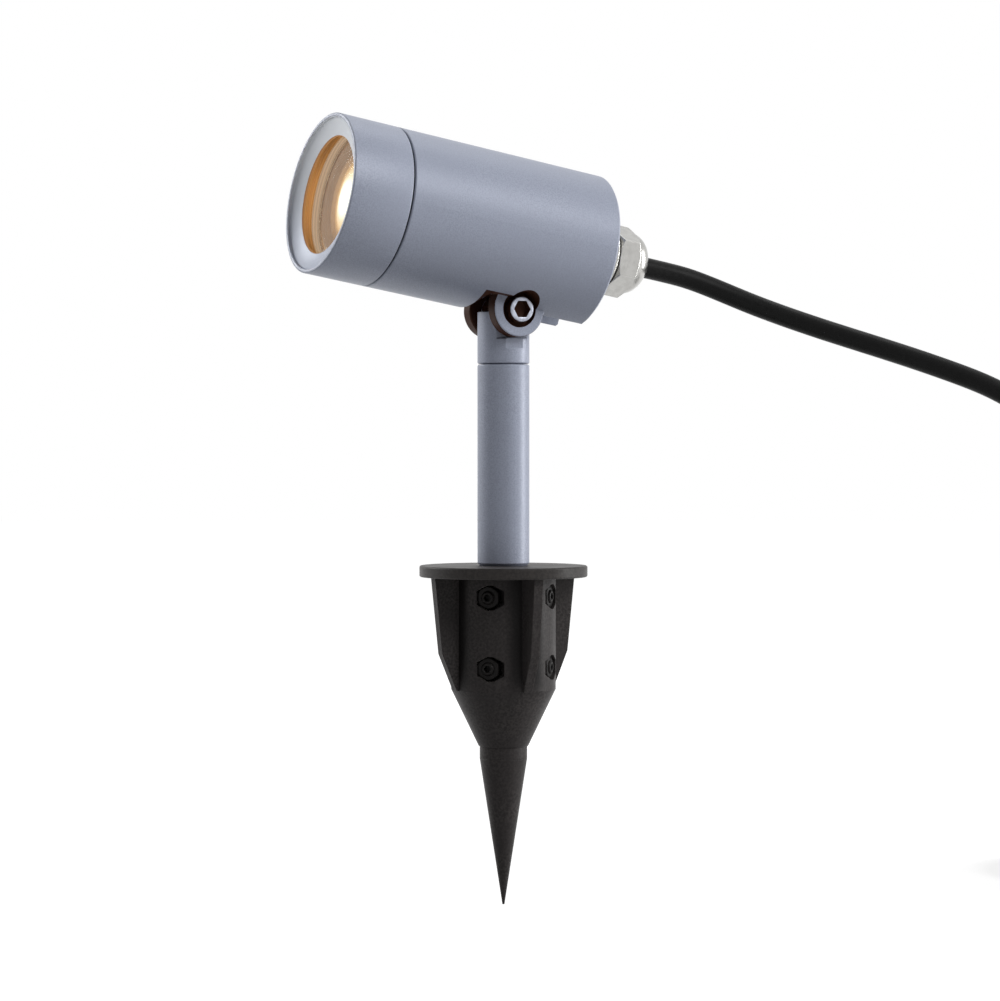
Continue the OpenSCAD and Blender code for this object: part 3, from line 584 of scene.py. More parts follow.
# %% The edge group
edge_group, given, result = start_group(
    "edges", [("Radius", FLOAT, 0.0006)], [("Edge", FLOAT), ("Normal", NORMAL)],
)
rounded = add_node(edge_group, "Bevel", {"Radius": given["Radius"]}, samples=6)
flat = add_node(edge_group, "NewGeometry").outputs["Normal"]
meet = add_node(
    edge_group, "VectorMath", {0: rounded.outputs[0], 1: flat}, operation="DOT_PRODUCT",
)
edge_group.links.new(ranged(edge_group, meet.outputs["Value"], 0.985, 0.80), result["Edge"])
edge_group.links.new(rounded.outputs[0], result["Normal"])
print("groups", [group.name for group in bpy.data.node_groups])

# %% [markdown]
# ## Painted aluminium
# The head, the stem and the post are cast and turned aluminium with a
# blue-grey satin paint that has a fine sandy grain and a little metal flake.
# A partly metallic surface with a rough finish gives the broad, soft
# highlights. Masks in the head's own frame paint light and shade into it:
# painted shade turns the paint dark brown inside the knuckle's recesses and
# counterbores, a painted highlight makes the bezel's dish pale, paler towards
# its top, and a painted orange glow lies on the wall in front of the lamp.

# %% Make the paint
PAINT = colour(150, 156, 173)
PAINT_LIGHT = colour(166, 172, 189)
PAINT_DARK = colour(136, 142, 158)
# Colours of painted light and shade: the dish's painted highlight, the dark brown painted shade of
# the recesses, and the painted orange glow in front of the lamp.
DISH_PAINTED_HIGHLIGHT_TOP = colour(244, 249, 255)
DISH_PAINTED_HIGHLIGHT_LOW = colour(184, 192, 210)
PAINTED_SHADE_BROWN = colour(62, 38, 28)
WALL_PAINTED_GLOW = colour(166, 118, 70)
NECK_PAINTED_GLOW = colour(190, 158, 124)
STEM_SHOULDER = 0.0997
# The places of the masks, in metres in the head's own frame.
RECESS_TOP, RECESS_BACK, RECESS_FRONT = -0.0241, -0.0005, 0.0169
EAR_INNER, EAR_OUTER, EAR_R, BORE_R = 0.0131, 0.01355, 0.0104, 0.0068
DISH_R, DISH_BACK, DISH_LOW, DISH_HIGH = 0.0286, 0.078, -0.026, 0.02
WALL_R, WALL_BACK = 0.02212, 0.0765
NECK_R, NECK_BACK, NECK_MIDDLE, NECK_FRONT = 0.0262, 0.05, 0.0715, 0.0764
NECK_RINGS, GASKET_RINGS = 2900, 3200


def add_bump(tree, shader, grain, depth, strength=0.3, edges=None):
    """A fine bump of the grain, over the rounded normal of the edges where given."""
    inputs = {"Strength": strength, "Distance": depth, "Height": grain["Fine"]}
    if edges is not None:
        inputs["Normal"] = edges["Normal"]
    feed(shader, {"Normal": add_node(tree, "Bump", inputs).outputs["Normal"]})


def ringed(tree, place, rate):
    """Fine rings along the place, as a number from 0 to 1."""
    return maths(tree, "ABSOLUTE", maths(tree, "SINE", times(tree, place, rate)))


def paint_finish(name, masks):
    """Satin paint over aluminium, with the masks' colours over it."""
    material, tree, shader = start_finish(name)
    grain = use_group(tree, grain_group, Scale=5200.0, Cloud_Scale=22.0)
    edges = use_group(tree, edge_group, Radius=0.0005)
    tone = mixed(tree, ranged(tree, grain["Speck"], 0.35, 0.65), PAINT_DARK, PAINT_LIGHT)
    tone = mixed(tree, ranged(tree, grain["Cloud"], 0.3, 0.7, 0.35, 0.75), tone, PAINT)
    tone = mixed(tree, times(tree, edges["Edge"], 0.35), tone, PAINT_LIGHT)
    rough = ranged(tree, grain["Fine"], 0.3, 0.7, 0.36, 0.5)
    tone = masks(tree, shader, tone)
    feed(shader, {"Base Color": tone, "Roughness": rough, "Metallic": 0.08})
    add_bump(tree, shader, grain, 0.00004, edges=edges)
    return material


def darkened(tree, shader, tone, mask):
    """Painted shade: the tone with the masked places dark brown and dull."""
    feed(shader, {"Specular IOR Level": maths(tree, "SUBTRACT", 0.4, times(tree, mask, 0.36))})
    return mixed(tree, mask, tone, PAINTED_SHADE_BROWN)


def head_place(tree):
    """Object coordinates turned into the head's frame: x across, y up, z to the front."""
    where = add_node(tree, "TexCoord").outputs["Object"]
    turned = add_node(
        tree, "Mapping",
        {"Vector": where, "Location": tuple(PIVOT + head_up * PIVOT_DROP),
         "Rotation": (math.radians(90) - HEAD_LEAN, 0, 0)},
        vector_type="TEXTURE",
    ).outputs["Vector"]
    return add_node(tree, "SeparateXYZ", {0: turned}).outputs


def stem_masks(tree, shader, tone):
    """Painted shade, dark brown, on the tongue's eye above the stem's shoulders."""
    height = add_node(
        tree, "SeparateXYZ", {0: add_node(tree, "TexCoord").outputs["Object"]},
    ).outputs["Z"]
    return darkened(tree, shader, tone, above(tree, height, STEM_SHOULDER))


def head_masks(tree, shader, tone):
    """Painted shade in the recess and counterbores, a painted highlight on the dish, and a painted
    glow on the wall in front of the lamp.
    """
    side, up, front = head_place(tree)
    out = maths(tree, "ABSOLUTE", side)
    from_axis = length_of(tree, side, up)
    from_tilt = length_of(tree, maths(tree, "ADD", up, PIVOT_DROP), front)
    low = below(tree, up, RECESS_TOP)
    ear = below(tree, from_tilt, EAR_R)
    ear_face = times(tree, within(tree, out, EAR_INNER, EAR_OUTER), ear)
    # Painted shade in the knuckle's recess, leaving out the ears' faces.
    recess = maths(
        tree, "MAXIMUM", times(tree, low, within(tree, front, RECESS_BACK, RECESS_FRONT)),
        times(tree, low, times(tree, below(tree, out, EAR_INNER), ear)),
    )
    recess = times(tree, recess, maths(tree, "SUBTRACT", 1, ear_face))
    bore = below(tree, from_tilt, BORE_R)
    # Painted highlight: the bezel's dish is pale, paler towards its top.
    dish = times(tree, below(tree, from_axis, DISH_R), above(tree, front, DISH_BACK))
    dish_painted_highlight = mixed(tree, ranged(tree, up, DISH_LOW, DISH_HIGH), DISH_PAINTED_HIGHLIGHT_LOW, DISH_PAINTED_HIGHLIGHT_TOP)
    tone = mixed(tree, times(tree, dish, 0.9), tone, dish_painted_highlight)
    # Painted shade: the recess and the counterbores go dark brown and dull.
    tone = darkened(tree, shader, tone, maths(tree, "MAXIMUM", recess, bore))
    # Painted glow: the wall and the neck in front of the lamp glow orange in fine rings over the
    # dark brown base.
    wall = times(tree, below(tree, from_axis, WALL_R), above(tree, front, WALL_BACK))
    neck = times(tree, below(tree, from_axis, NECK_R), within(tree, front, NECK_BACK, NECK_FRONT))
    lit = maths(tree, "MAXIMUM", wall, neck)
    glow = mixed(tree, ranged(tree, front, NECK_MIDDLE, WALL_BACK), NECK_PAINTED_GLOW, WALL_PAINTED_GLOW)
    level = ranged(tree, ringed(tree, front, NECK_RINGS), 0.0, 1.0, 0.6, 0.95)
    feed(shader, {"Emission Color": glow, "Emission Strength": times(tree, lit, level)})
    return mixed(tree, lit, tone, PAINTED_SHADE_BROWN)


paint_plain = paint_finish("painted_aluminium_post", stem_masks)
paint_head = paint_finish("painted_aluminium_head", head_masks)
print("paint", [round(value, 3) for value in PAINT])

# %% [markdown]
# ## Metals, plastics and rubbers
# The other finishes follow the same recipe with other numbers: a base
# colour with a slow change of tone, a grain in the roughness and a fine
# bump, and lighter edges where handling rubs them. The spike has a mask of
# its own, a painted shade that darkens the corners of its hub.

# %% A general finish
def plain_finish(name, base, light, dark, grain_scale, rough, bump_depth, metal=0.0,
                 edge_share=0.3, specular=0.5, extra=None):
    """A finish from three screen colours. extra changes the tone before the shader."""
    base, light, dark = (colour(*tone) for tone in (base, light, dark))
    material, tree, shader = start_finish(name)
    grain = use_group(tree, grain_group, Scale=grain_scale, Cloud_Scale=70.0)
    edges = use_group(tree, edge_group, Radius=0.0005)
    tone = mixed(tree, ranged(tree, grain["Speck"], 0.35, 0.65), dark, light)
    tone = mixed(tree, ranged(tree, grain["Cloud"], 0.3, 0.7, 0.4, 0.8), tone, base)
    tone = mixed(tree, times(tree, edges["Edge"], edge_share), tone, light)
    if extra:
        tone = extra(tree, tone)
    feed(shader, {
        "Base Color": tone, "Roughness": ranged(tree, grain["Cloud"], 0.25, 0.75, *rough),
        "Metallic": metal, "Specular IOR Level": specular,
    })
    add_bump(tree, shader, grain, bump_depth, 0.4, edges)
    return material


HUB_FOOT, HUB_FADE = -0.0424, 0.006
CORNER_NEAR, CORNER_FAR, FIN_HALF = 0.0045, 0.009, 0.0019
HUB_INSIDE, HUB_OUTSIDE = 0.0202, 0.0212


def corner_painted_shade(tree, tone):
    """Painted shade in the corners where the fins meet the hub, which the light hardly reaches."""
    where = add_node(tree, "TexCoord").outputs["Object"]
    where = add_node(tree, "SeparateXYZ", {"Vector": where}).outputs
    wide, deep = (maths(tree, "ABSOLUTE", where[axis]) for axis in "XY")
    from_fin = maths(tree, "MINIMUM", wide, deep)
    near = ranged(tree, from_fin, CORNER_NEAR, CORNER_FAR, 1.0, 0.0)
    inside = ranged(tree, length_of(tree, wide, deep), HUB_INSIDE, HUB_OUTSIDE, 1.0, 0.0)
    mask = times(tree, times(tree, near, inside), above(tree, from_fin, FIN_HALF))
    hub = ranged(tree, where["Z"], HUB_FOOT - 0.004, HUB_FOOT + HUB_FADE)
    return mixed(tree, times(tree, times(tree, mask, hub), 0.8), tone, colour(6, 5, 5))


# %% The finishes
nickel = plain_finish(
    "nickel_plate", (178, 177, 174), (188, 187, 184), (169, 168, 165),
    900.0, (0.2, 0.26), 0.000004, metal=0.95,
)
stainless = plain_finish(
    "stainless", (168, 172, 184), (196, 200, 212), (140, 144, 156),
    1600.0, (0.25, 0.38), 0.00002, metal=1.0,
)
plated = plain_finish(
    "plated_steel", (168, 168, 166), (190, 190, 188), (140, 140, 138),
    1200.0, (0.25, 0.4), 0.00002, metal=1.0,
)
black_steel = plain_finish(
    "black_steel", (20, 18, 18), (40, 37, 36), (12, 11, 11),
    1400.0, (0.4, 0.55), 0.00002, specular=0.1,
)
spike_plastic = plain_finish(
    "spike_moulding", (52, 49, 49), (74, 70, 69), (40, 38, 37),
    2600.0, (0.38, 0.48), 0.00003, edge_share=0.4, specular=0.09, extra=corner_painted_shade,
)
disc_plastic = plain_finish(
    "disc_moulding", (48, 45, 44), (64, 60, 58), (36, 34, 33),
    2400.0, (0.4, 0.5), 0.00002, edge_share=0.35, specular=0.16,
)
acetal = plain_finish(
    "acetal", (214, 214, 206), (228, 228, 221), (196, 196, 187),
    1200.0, (0.35, 0.45), 0.00001,
)
seal_rubber = plain_finish(
    "seal_rubber", (26, 26, 27), (38, 38, 39), (17, 17, 18),
    2200.0, (0.5, 0.65), 0.00003, specular=0.2,
)
plug_rubber = plain_finish(
    "plug_rubber", (15, 15, 15), (26, 26, 26), (9, 9, 9),
    1800.0, (0.36, 0.48), 0.00003, specular=0.1,
)
lamp_metal = plain_finish(
    "lamp_metal", (202, 184, 152), (220, 205, 178), (172, 150, 115),
    800.0, (0.2, 0.3), 0.00002, metal=0.9,
)
lamp_plastic = plain_finish(
    "lamp_plastic", (232, 228, 220), (242, 240, 234), (214, 208, 198),
    900.0, (0.35, 0.45), 0.00001,
)
ceramic = plain_finish(
    "holder_ceramic", (232, 230, 222), (244, 242, 236), (210, 206, 196),
    1400.0, (0.5, 0.7), 0.00003,
)
block_plastic = plain_finish(
    "block_plastic", (216, 216, 209), (230, 230, 224), (196, 196, 188),
    900.0, (0.35, 0.45), 0.00001,
)
core_plastic = plain_finish(
    "core_insulation", (138, 90, 43), (160, 110, 60), (110, 68, 30),
    1200.0, (0.35, 0.45), 0.00001,
)
sleeve_rubber = plain_finish(
    "lead_sleeve", (230, 220, 204), (240, 232, 218), (205, 192, 172),
    2400.0, (0.6, 0.75), 0.00003,
)
print("finishes", len(bpy.data.materials))

# %% [markdown]
# ## Glass and the lit lamp
# The pane is clear glass with a faint warm tint and a little haze in its
# roughness. Its index of refraction is low, as for a coated pane, so that
# the lamp shows through it. The lamp is on: its lens glows white-yellow in the
# middle and tan at the rim, and the ridges around it get a painted glow for
# the light that they catch, so one finish with an emission that falls off with
# the distance from the lamp's axis serves both.

# %% Make the glass
safety_glass, tree, shader = start_finish("safety_glass")
grain = use_group(tree, grain_group, Scale=300.0, Cloud_Scale=40.0)
clouds = ranged(tree, grain["Cloud"], 0.3, 0.7)
tint = mixed(tree, clouds, colour(250, 250, 248), colour(240, 244, 240))
feed(shader, {
    "Base Color": tint, "Roughness": ranged(tree, grain["Cloud"], 0.3, 0.7, 0.0, 0.05),
    "Transmission Weight": 1, "IOR": 1.18, "Specular IOR Level": 0.12,
})
print("glass tint over", len(tree.nodes), "nodes")

# %% Make the lit optic
lamp_optic, tree, shader = start_finish("lamp_optic")
side, up, front = head_place(tree)
LIT_REACH = 24
GLOW_SIDE, GLOW_UP = 0.0022, 0.0008
from_glow = length_of(
    tree, maths(tree, "ADD", side, GLOW_SIDE), maths(tree, "SUBTRACT", up, GLOW_UP),
)
share = ranged(tree, from_glow, 0.0, LIT_REACH * MM, how="LINEAR")
# The lens's own glow, then the ridges' painted glow, with a painted bright ring near their rim.
LIT_STOPS = [
    (0, 255, 253, 244), (5.5, 254, 251, 238), (8, 252, 238, 206), (10.5, 248, 220, 172),
    (13.2, 226, 180, 120), (15.2, 172, 132, 88), (17.5, 132, 98, 62), (21.4, 140, 106, 72),
    (22.4, 206, 170, 132), (23.2, 200, 164, 126), (23.8, 150, 120, 90), (24, 150, 120, 90),
]
glow_colour = ramp(tree, share, [(r / LIT_REACH, colour(*tone)) for r, *tone in LIT_STOPS])
grain = use_group(tree, grain_group, Scale=1500.0, Cloud_Scale=180.0)
clouds = ranged(tree, grain["Cloud"], 0.3, 0.7, 0.0, 0.3)
tone = mixed(tree, clouds, glow_colour, colour(205, 165, 120))
feed(shader, {
    "Base Color": mixed(tree, 0.7, tone, colour(40, 28, 18)), "Emission Color": glow_colour,
    "Emission Strength": ranged(tree, share, 0.2, 0.4, 1.25, 0.85),
    "Roughness": ranged(tree, grain["Fine"], 0.3, 0.7, 0.45, 0.6), "Specular IOR Level": 0.03,
})
add_bump(tree, shader, grain, 0.00005)

# %% Make the gasket with its painted glow
GASKET_GLOW_R = 0.0266
gasket_with_painted_glow, tree, shader = start_finish("gasket_painted_glow")
grain = use_group(tree, grain_group, Scale=1800.0, Cloud_Scale=160.0)
side, up, front = head_place(tree)
# Painted glow: within this radius the gasket is orange and glows in fine rings, most near its
# middle height.
lit = below(tree, length_of(tree, side, up), GASKET_GLOW_R)
rubber = mixed(tree, grain["Cloud"], colour(26, 26, 27), colour(46, 42, 40))
near_middle = ranged(tree, maths(tree, "ABSOLUTE", up), 0.004, 0.022, 0.9, 0.4)
level = ranged(tree, ringed(tree, front, GASKET_RINGS), 0.0, 1.0, 0.45, 0.85)
feed(shader, {
    "Base Color": mixed(tree, lit, rubber, WALL_PAINTED_GLOW), "Emission Color": colour(190, 136, 80),
    "Emission Strength": times(tree, times(tree, lit, near_middle), level),
    "Roughness": ranged(tree, grain["Fine"], 0.3, 0.7, 0.5, 0.65), "Specular IOR Level": 0.2,
})
print("lit gasket over", len(tree.nodes), "nodes")

# %% Make the screw heads with painted shade
SOCKET_R, SOCKET_TOP = 0.00362, 0.01565
SCREW_SIDE_R, SCREW_SIDE_TOP = 0.0045, 0.0152
screw_steel, tree, shader = start_finish("screw_steel")
grain = use_group(tree, grain_group, Scale=1600.0, Cloud_Scale=90.0)
edges = use_group(tree, edge_group, Radius=0.0003)
side, up, front = head_place(tree)
out = maths(tree, "ABSOLUTE", side)
from_tilt = length_of(tree, maths(tree, "ADD", up, PIVOT_DROP), front)
# Painted shade: the hex socket and the side of each head are dark brown and dull.
screw_painted_shade = maths(
    tree, "MAXIMUM",
    times(tree, below(tree, out, SOCKET_TOP), below(tree, from_tilt, SOCKET_R)),
    times(tree, below(tree, out, SCREW_SIDE_TOP), above(tree, from_tilt, SCREW_SIDE_R)),
)
specks = ranged(tree, grain["Speck"], 0.35, 0.65)
tone = mixed(tree, specks, colour(150, 154, 166), colour(176, 180, 192))
tone = mixed(tree, times(tree, edges["Edge"], 0.4), tone, colour(206, 210, 220))
feed(shader, {
    "Base Color": mixed(tree, screw_painted_shade, tone, colour(70, 45, 35)),
    "Metallic": maths(tree, "SUBTRACT", 0.75, times(tree, screw_painted_shade, 0.75)),
    "Specular IOR Level": maths(tree, "SUBTRACT", 0.5, times(tree, screw_painted_shade, 0.46)),
    "Roughness": ranged(tree, grain["Fine"], 0.3, 0.7, 0.34, 0.46),
})
add_bump(tree, shader, grain, 0.00002, edges=edges)
print("glass and lamp finishes made")

# %% [markdown]
# ## The bezel
# The bezel is a turned ring that screws onto the head's neck. It could be
# the CAD ring with a bevel modifier, but that mesh is loose triangles, so a
# lathe outline is quicker and cleaner. The lip's two corners and the edge of
# the opening are arcs, because the photograph shows a thin line of light on
# each of them, and the face is dished towards the glass.

# %% Turn the bezel
HEAD_R = 30
BEZEL_BACK, BEZEL_FACE = 57.6, 81.3
BEZEL_BORE = 27.48
LIP_W, LIP_DEPTH, LIP_ROUND = 1.6, 1.2, 0.5
APERTURE_R, DISH_DEPTH = 22, 3
SEAT = 77.3
recess = BEZEL_FACE - LIP_DEPTH
bezel = lathe("bezel_front", [
    (BEZEL_BORE, BEZEL_BACK),
    *arc((HEAD_R - LIP_ROUND, BEZEL_BACK + LIP_ROUND), LIP_ROUND, -90, 0, 4),
    *arc((HEAD_R - LIP_ROUND, BEZEL_FACE - LIP_ROUND), LIP_ROUND, 0, 90, 6),
    *arc((HEAD_R - LIP_W + LIP_ROUND, BEZEL_FACE - LIP_ROUND), LIP_ROUND, 90, 180, 6),
    (HEAD_R - LIP_W, recess + LIP_ROUND / 3),
    (HEAD_R - LIP_W - LIP_ROUND / 3, recess),
    *arc((APERTURE_R + 0.3, BEZEL_FACE - DISH_DEPTH - 0.3), 0.3, 106, 180, 5),
    (APERTURE_R, SEAT),
    (BEZEL_BORE, SEAT),
], steps=144)
settle(bezel, HEAD)
smooth(bezel)
dress(bezel, "bezel", paint_head, "painted_aluminium", "bezel_ring")

# %% [markdown]
# ## The lamp behind the glass
# A 50 mm reflector lamp fills the head. What the camera sees of it is its
# ridged front and the domed lens in the middle, so those two are turned with
# round ridges, where the CAD has plain steps. The pane in front is a turned
# disc with ground edges.

# %% Turn the pane, the ridges and the lens
GLASS_R, GLASS_BACK, GLASS_FRONT, GLASS_EDGE = 26.3, 72.35, 76.25, 0.5
pane = lathe("lens_pane", [
    (0, GLASS_BACK), (GLASS_R - GLASS_EDGE, GLASS_BACK), (GLASS_R, GLASS_BACK + GLASS_EDGE),
    (GLASS_R, GLASS_FRONT - GLASS_EDGE), (GLASS_R - GLASS_EDGE, GLASS_FRONT), (0, GLASS_FRONT),
], closed=False)
LENS_R, LENS_RISE, LAMP_CONE = 14.9, 3.2, 64.3
RIDGE_OUT, RIDGE_STEP, RIDGE_COUNT = 23.7, 0.8, 4
lens_sphere = (LENS_R ** 2 + LENS_RISE ** 2) / (2 * LENS_RISE)
lens_low = LAMP_CONE + 1.33
lens_sweep = math.degrees(math.asin(LENS_R / lens_sphere))
lens = lathe("lens_dome", [
    (0, LAMP_CONE), (LENS_R, LAMP_CONE),
    *arc((0, lens_low + LENS_RISE - lens_sphere), lens_sphere, 90 - lens_sweep, 90, 10)[:-1],
    (0, lens_low + LENS_RISE),
], closed=False)
ridge_w = (RIDGE_OUT - LENS_R) / RIDGE_COUNT
ridge_line = [(RIDGE_OUT, LAMP_CONE), (LENS_R + 0.05, LAMP_CONE)]
for i in range(RIDGE_COUNT):
    middle = (LENS_R + 0.05 + (i + 0.5) * ridge_w, lens_low + i * RIDGE_STEP - ridge_w / 2)
    ridge_line += arc(middle, ridge_w / 2, 170, 10, 8)
ridges = lathe("lamp_ridges", ridge_line, steps=120)
for piece in (pane, lens, ridges):
    settle(piece, HEAD)
    smooth(piece, 28)
dress(pane, "lens_carrier", safety_glass, "safety_glass", "lens_glass")
dress(lens, "head", lamp_optic, "lamp_optic", "lamp_lens")
dress(ridges, "head", lamp_optic, "lamp_metal", "lamp_rings")

# %% [markdown]
# ## The cable gland
# The gland is a hexagon on a threaded barrel and a cap nut with a dome. Each
# hexagon is a six-sided bar that is intersected with a turned barrel shape,
# which gives the curved chamfers that a real nut has.

# %% A chamfered hexagon
def chamfered_hex(name, flats, low, high, chamfer, turn=0):
    """A hexagon bar whose corners are turned off at both ends."""
    bar = prism(name, flats, high - low, low, turn=turn)
    corner = flats / 2 / math.cos(math.radians(30))
    slope = (corner - flats / 2) * chamfer
    barrel = lathe("barrel", [
        (0, low), (flats / 2, low), (corner + 0.1, low + slope + 0.1),
        (corner + 0.1, high - slope - 0.1), (flats / 2, high), (0, high),
    ], steps=72, closed=False)
    return cut(bar, barrel, how="INTERSECT")


# %% Build the gland
GLAND_FLATS = 23.9
HEX_BACK, HEX_FRONT = -38.9, -30
CAP_FRONT, CAP_BACK, GLAND_END = -39.6, -48.2, -55.4
THREAD_R, GLAND_BORE, MOUTH_R, DOME_R = 9.9, 7, 4.35, 11.75
nut_body = chamfered_hex("gland_nut", GLAND_FLATS, HEX_BACK, HEX_FRONT, 0.55)
barrel = lathe("thread", [
    (GLAND_BORE, -20), (THREAD_R, -20), (THREAD_R, CAP_BACK + 0.6), (GLAND_BORE, CAP_BACK + 0.6),
], steps=72)
cut(nut_body, barrel, how="UNION")
drill = lathe("drill", [(0, -60), (GLAND_BORE, -60), (GLAND_BORE, 0), (0, 0)], closed=False)
cut(nut_body, drill)
cap = chamfered_hex("gland_cap", GLAND_FLATS, CAP_BACK, CAP_FRONT, 0.55)
dome = lathe("dome", [
    (0, CAP_BACK + 0.5), (DOME_R, CAP_BACK + 0.5),
    *[(DOME_R * math.cos(math.radians(a)),
       CAP_BACK - (CAP_BACK - GLAND_END) * math.sin(math.radians(a)) / math.sin(math.radians(70)))
      for a in range(0, 70, 7)],
    (MOUTH_R + 0.6, GLAND_END), (0, GLAND_END),
], steps=96, closed=False)
cut(cap, dome, how="UNION")
hollow = lathe("hollow", [
    (0, GLAND_END - 1), (MOUTH_R, GLAND_END - 1), (MOUTH_R, GLAND_END + 2.5),
    (THREAD_R + 0.1, CAP_BACK - 0.6), (THREAD_R + 0.1, CAP_FRONT + 1), (0, CAP_FRONT + 1),
], steps=72, closed=False)
cut(cap, hollow)
for piece, node in ((nut_body, "gland_body"), (cap, "gland_cap_nut")):
    settle(piece, HEAD)
    smooth(piece, 24)
    dress(piece, "head", nickel, "nickel_plate", node)

# %% [markdown]
# ## The tilt joint's screws
# Each ear is held by a shoulder screw with a hexagon socket. The head is
# turned with a rounded corner, and the socket is cut by a six-sided bar. One
# screw is modelled along Z, and its two copies are set along the tilt axis.

# %% Build the screws and washers
SCREW_R, SCREW_ROUND, SOCKET_FLATS, SOCKET_DEPTH = 4.75, 0.5, 6, 3.4
SHOULDER_R, GRIP_R, TONGUE = 3, 1.92, 7.2
HEAD_LOW, HEAD_HIGH, GRIP_LEN = 10.58, 15.8, 5
screw = lathe("screw", [
    (0, TONGUE - GRIP_LEN), (GRIP_R, TONGUE - GRIP_LEN), (GRIP_R, TONGUE + 0.04),
    (SHOULDER_R, TONGUE + 0.04), (SHOULDER_R, HEAD_LOW), (SCREW_R, HEAD_LOW),
    *arc((SCREW_R - SCREW_ROUND, HEAD_HIGH - SCREW_ROUND), SCREW_ROUND, 0, 90, 5),
    (SOCKET_FLATS / 2 / math.cos(math.radians(30)) + 0.25, HEAD_HIGH), (0, HEAD_HIGH - 0.25),
], steps=72, closed=False)
cut(screw, prism("socket", SOCKET_FLATS, SOCKET_DEPTH + 1, HEAD_HIGH - SOCKET_DEPTH))
soften(screw, 0.00015, angle=40)
WASHER_BORE, WASHER_R, WASHER_T = SHOULDER_R + 0.08, 5.5, 0.44
washer = lathe("washer", [
    (WASHER_BORE, 0), (WASHER_R, 0), (WASHER_R, WASHER_T), (WASHER_BORE, WASHER_T + 0.1),
])
soften(washer, 0.0001)
tilt_axis = Matrix.Translation(PIVOT) @ Matrix.Rotation(math.radians(90), 4, "Y")
other_side = Matrix.Rotation(math.pi, 4, "Z")
washer_place = Matrix.Translation((0, 0, (TONGUE + 0.08) * MM))
near_screw = twin(screw, "screw_near", tilt_axis)
settle(screw, other_side @ tilt_axis)
hinge_bolts = join("hinge_bolts", [near_screw, screw])
near_washer = twin(washer, "washer_near", tilt_axis @ washer_place)
settle(washer, other_side @ tilt_axis @ washer_place)
hinge_washers = join("hinge_washers", [near_washer, washer])
dress(hinge_bolts, "swivel", screw_steel, "stainless", "pivot_screws")
dress(hinge_washers, "swivel", stainless, "stainless", "pivot_washers")

# %% [markdown]
# ## The clamping screws in the hub
# Eight set screws with nuts sit in the spike's pockets. One nut and one
# screw are modelled along Z. A loop over the four corners and the two rows
# sets a copy of each into its pocket.

# %% Build the nuts and set screws
NUT_FLATS, NUT_T, POCKET_FLOOR = 8, 4, 14.48
CLAMP_R, CLAMP_START, CLAMP_END = 2.42, 7.8, 19.2
nut = chamfered_hex("nut", NUT_FLATS, POCKET_FLOOR, POCKET_FLOOR + NUT_T, 0.7, turn=30)
cut(nut, lathe("hole", [(0, 0), (2.5, 0), (2.5, 30), (0, 30)], steps=48, closed=False))
soften(nut, 0.00015, angle=35)
set_screw = lathe("set_screw", [
    (0, CLAMP_START), (CLAMP_R, CLAMP_START), (CLAMP_R, CLAMP_END - 0.5),
    (CLAMP_R - 0.5, CLAMP_END), (0, CLAMP_END),
], steps=48, closed=False)
cut(set_screw, prism("key_hole", 2.5, 4, CLAMP_END - 2.5))
smooth(set_screw)
nuts, set_screws = [], []
for corner in (45, 135, 225, 315):
    for row in (-7.2, -33.8):
        place = (
            Matrix.Rotation(math.radians(corner), 4, "Z")
            @ Matrix.Translation((0, 0, row * MM))
            @ Matrix.Rotation(math.radians(90), 4, "Y")
        )
        nuts.append(twin(nut, "nut_copy", place))
        set_screws.append(twin(set_screw, "screw_copy", place))
for blank in (nut, set_screw):
    bpy.data.objects.remove(blank)
pocket_nuts = join("pocket_nuts", nuts)
pocket_screws = join("pocket_screws", set_screws)
dress(pocket_nuts, "spike", black_steel, "black_steel", "clamping_nuts")
dress(pocket_screws, "spike", black_steel, "black_steel", "clamping_screws")

# %% [markdown]
# ## The plug
# The rubber plug lies beside the coil. Its body is turned with a waist for
# the fingers, its relief is a taper with ribs, and the round prongs and the
# earth clips are metal. They are modelled along Z and set along the flex's
# end by one matrix.

# %% Build the plug
PLUG_R, PLUG_LEN, RELIEF_LEN = 19, 34, 30
PRONG_R, PRONG_LEN, PRONG_PITCH = 2.4, 19, 19
SLOT_DEPTH, CLIP_T = 1.2, 0.6
plug_place = Matrix((
    (0, 0, 1, COIL_TO_PLUG[-1][0] * MM),
    (1, 0, 0, COIL_TO_PLUG[-1][1] * MM),
    (0, 1, 0, COIL_TO_PLUG[-1][2] * MM),
    (0, 0, 0, 1),
))
shell = lathe("plug_shell", [
    (0, RELIEF_LEN), (9, RELIEF_LEN), (10.5, RELIEF_LEN + 1.5), (13.5, RELIEF_LEN + 7),
    (16.8, RELIEF_LEN + 11.5), (18.4, RELIEF_LEN + 14.5),
    *arc((PLUG_R - 1, RELIEF_LEN + PLUG_LEN - 1), 1, 0, 90, 4),
    (0, RELIEF_LEN + PLUG_LEN),
], steps=96, closed=False)
for side in (-1, 1):
    for row in range(4):
        groove = prism("groove", 1.6, 16, -8, sides=12)
        settle(groove, Matrix.Translation((side * 13.4 * MM, 0, (RELIEF_LEN + 4 + row * 2.6) * MM))
               @ Matrix.Rotation(math.radians(90), 4, "X"))
        cut(shell, groove)
    root = lathe("root", [(0, 0), (2.1, 0), (2.1, 90), (0, 90)], steps=32, closed=False)
    settle(root, Matrix.Translation((side * PRONG_PITCH / 2 * MM, 0,
                                     (RELIEF_LEN + PLUG_LEN - 4.8) * MM)))
    cut(shell, root)
    low, high = sorted((side * (PLUG_R - SLOT_DEPTH), side * (PLUG_R + 1)))
    cut(shell, block("slot", (-2.4, low, RELIEF_LEN + PLUG_LEN / 2),
                     (2.4, high, RELIEF_LEN + PLUG_LEN + 1)))
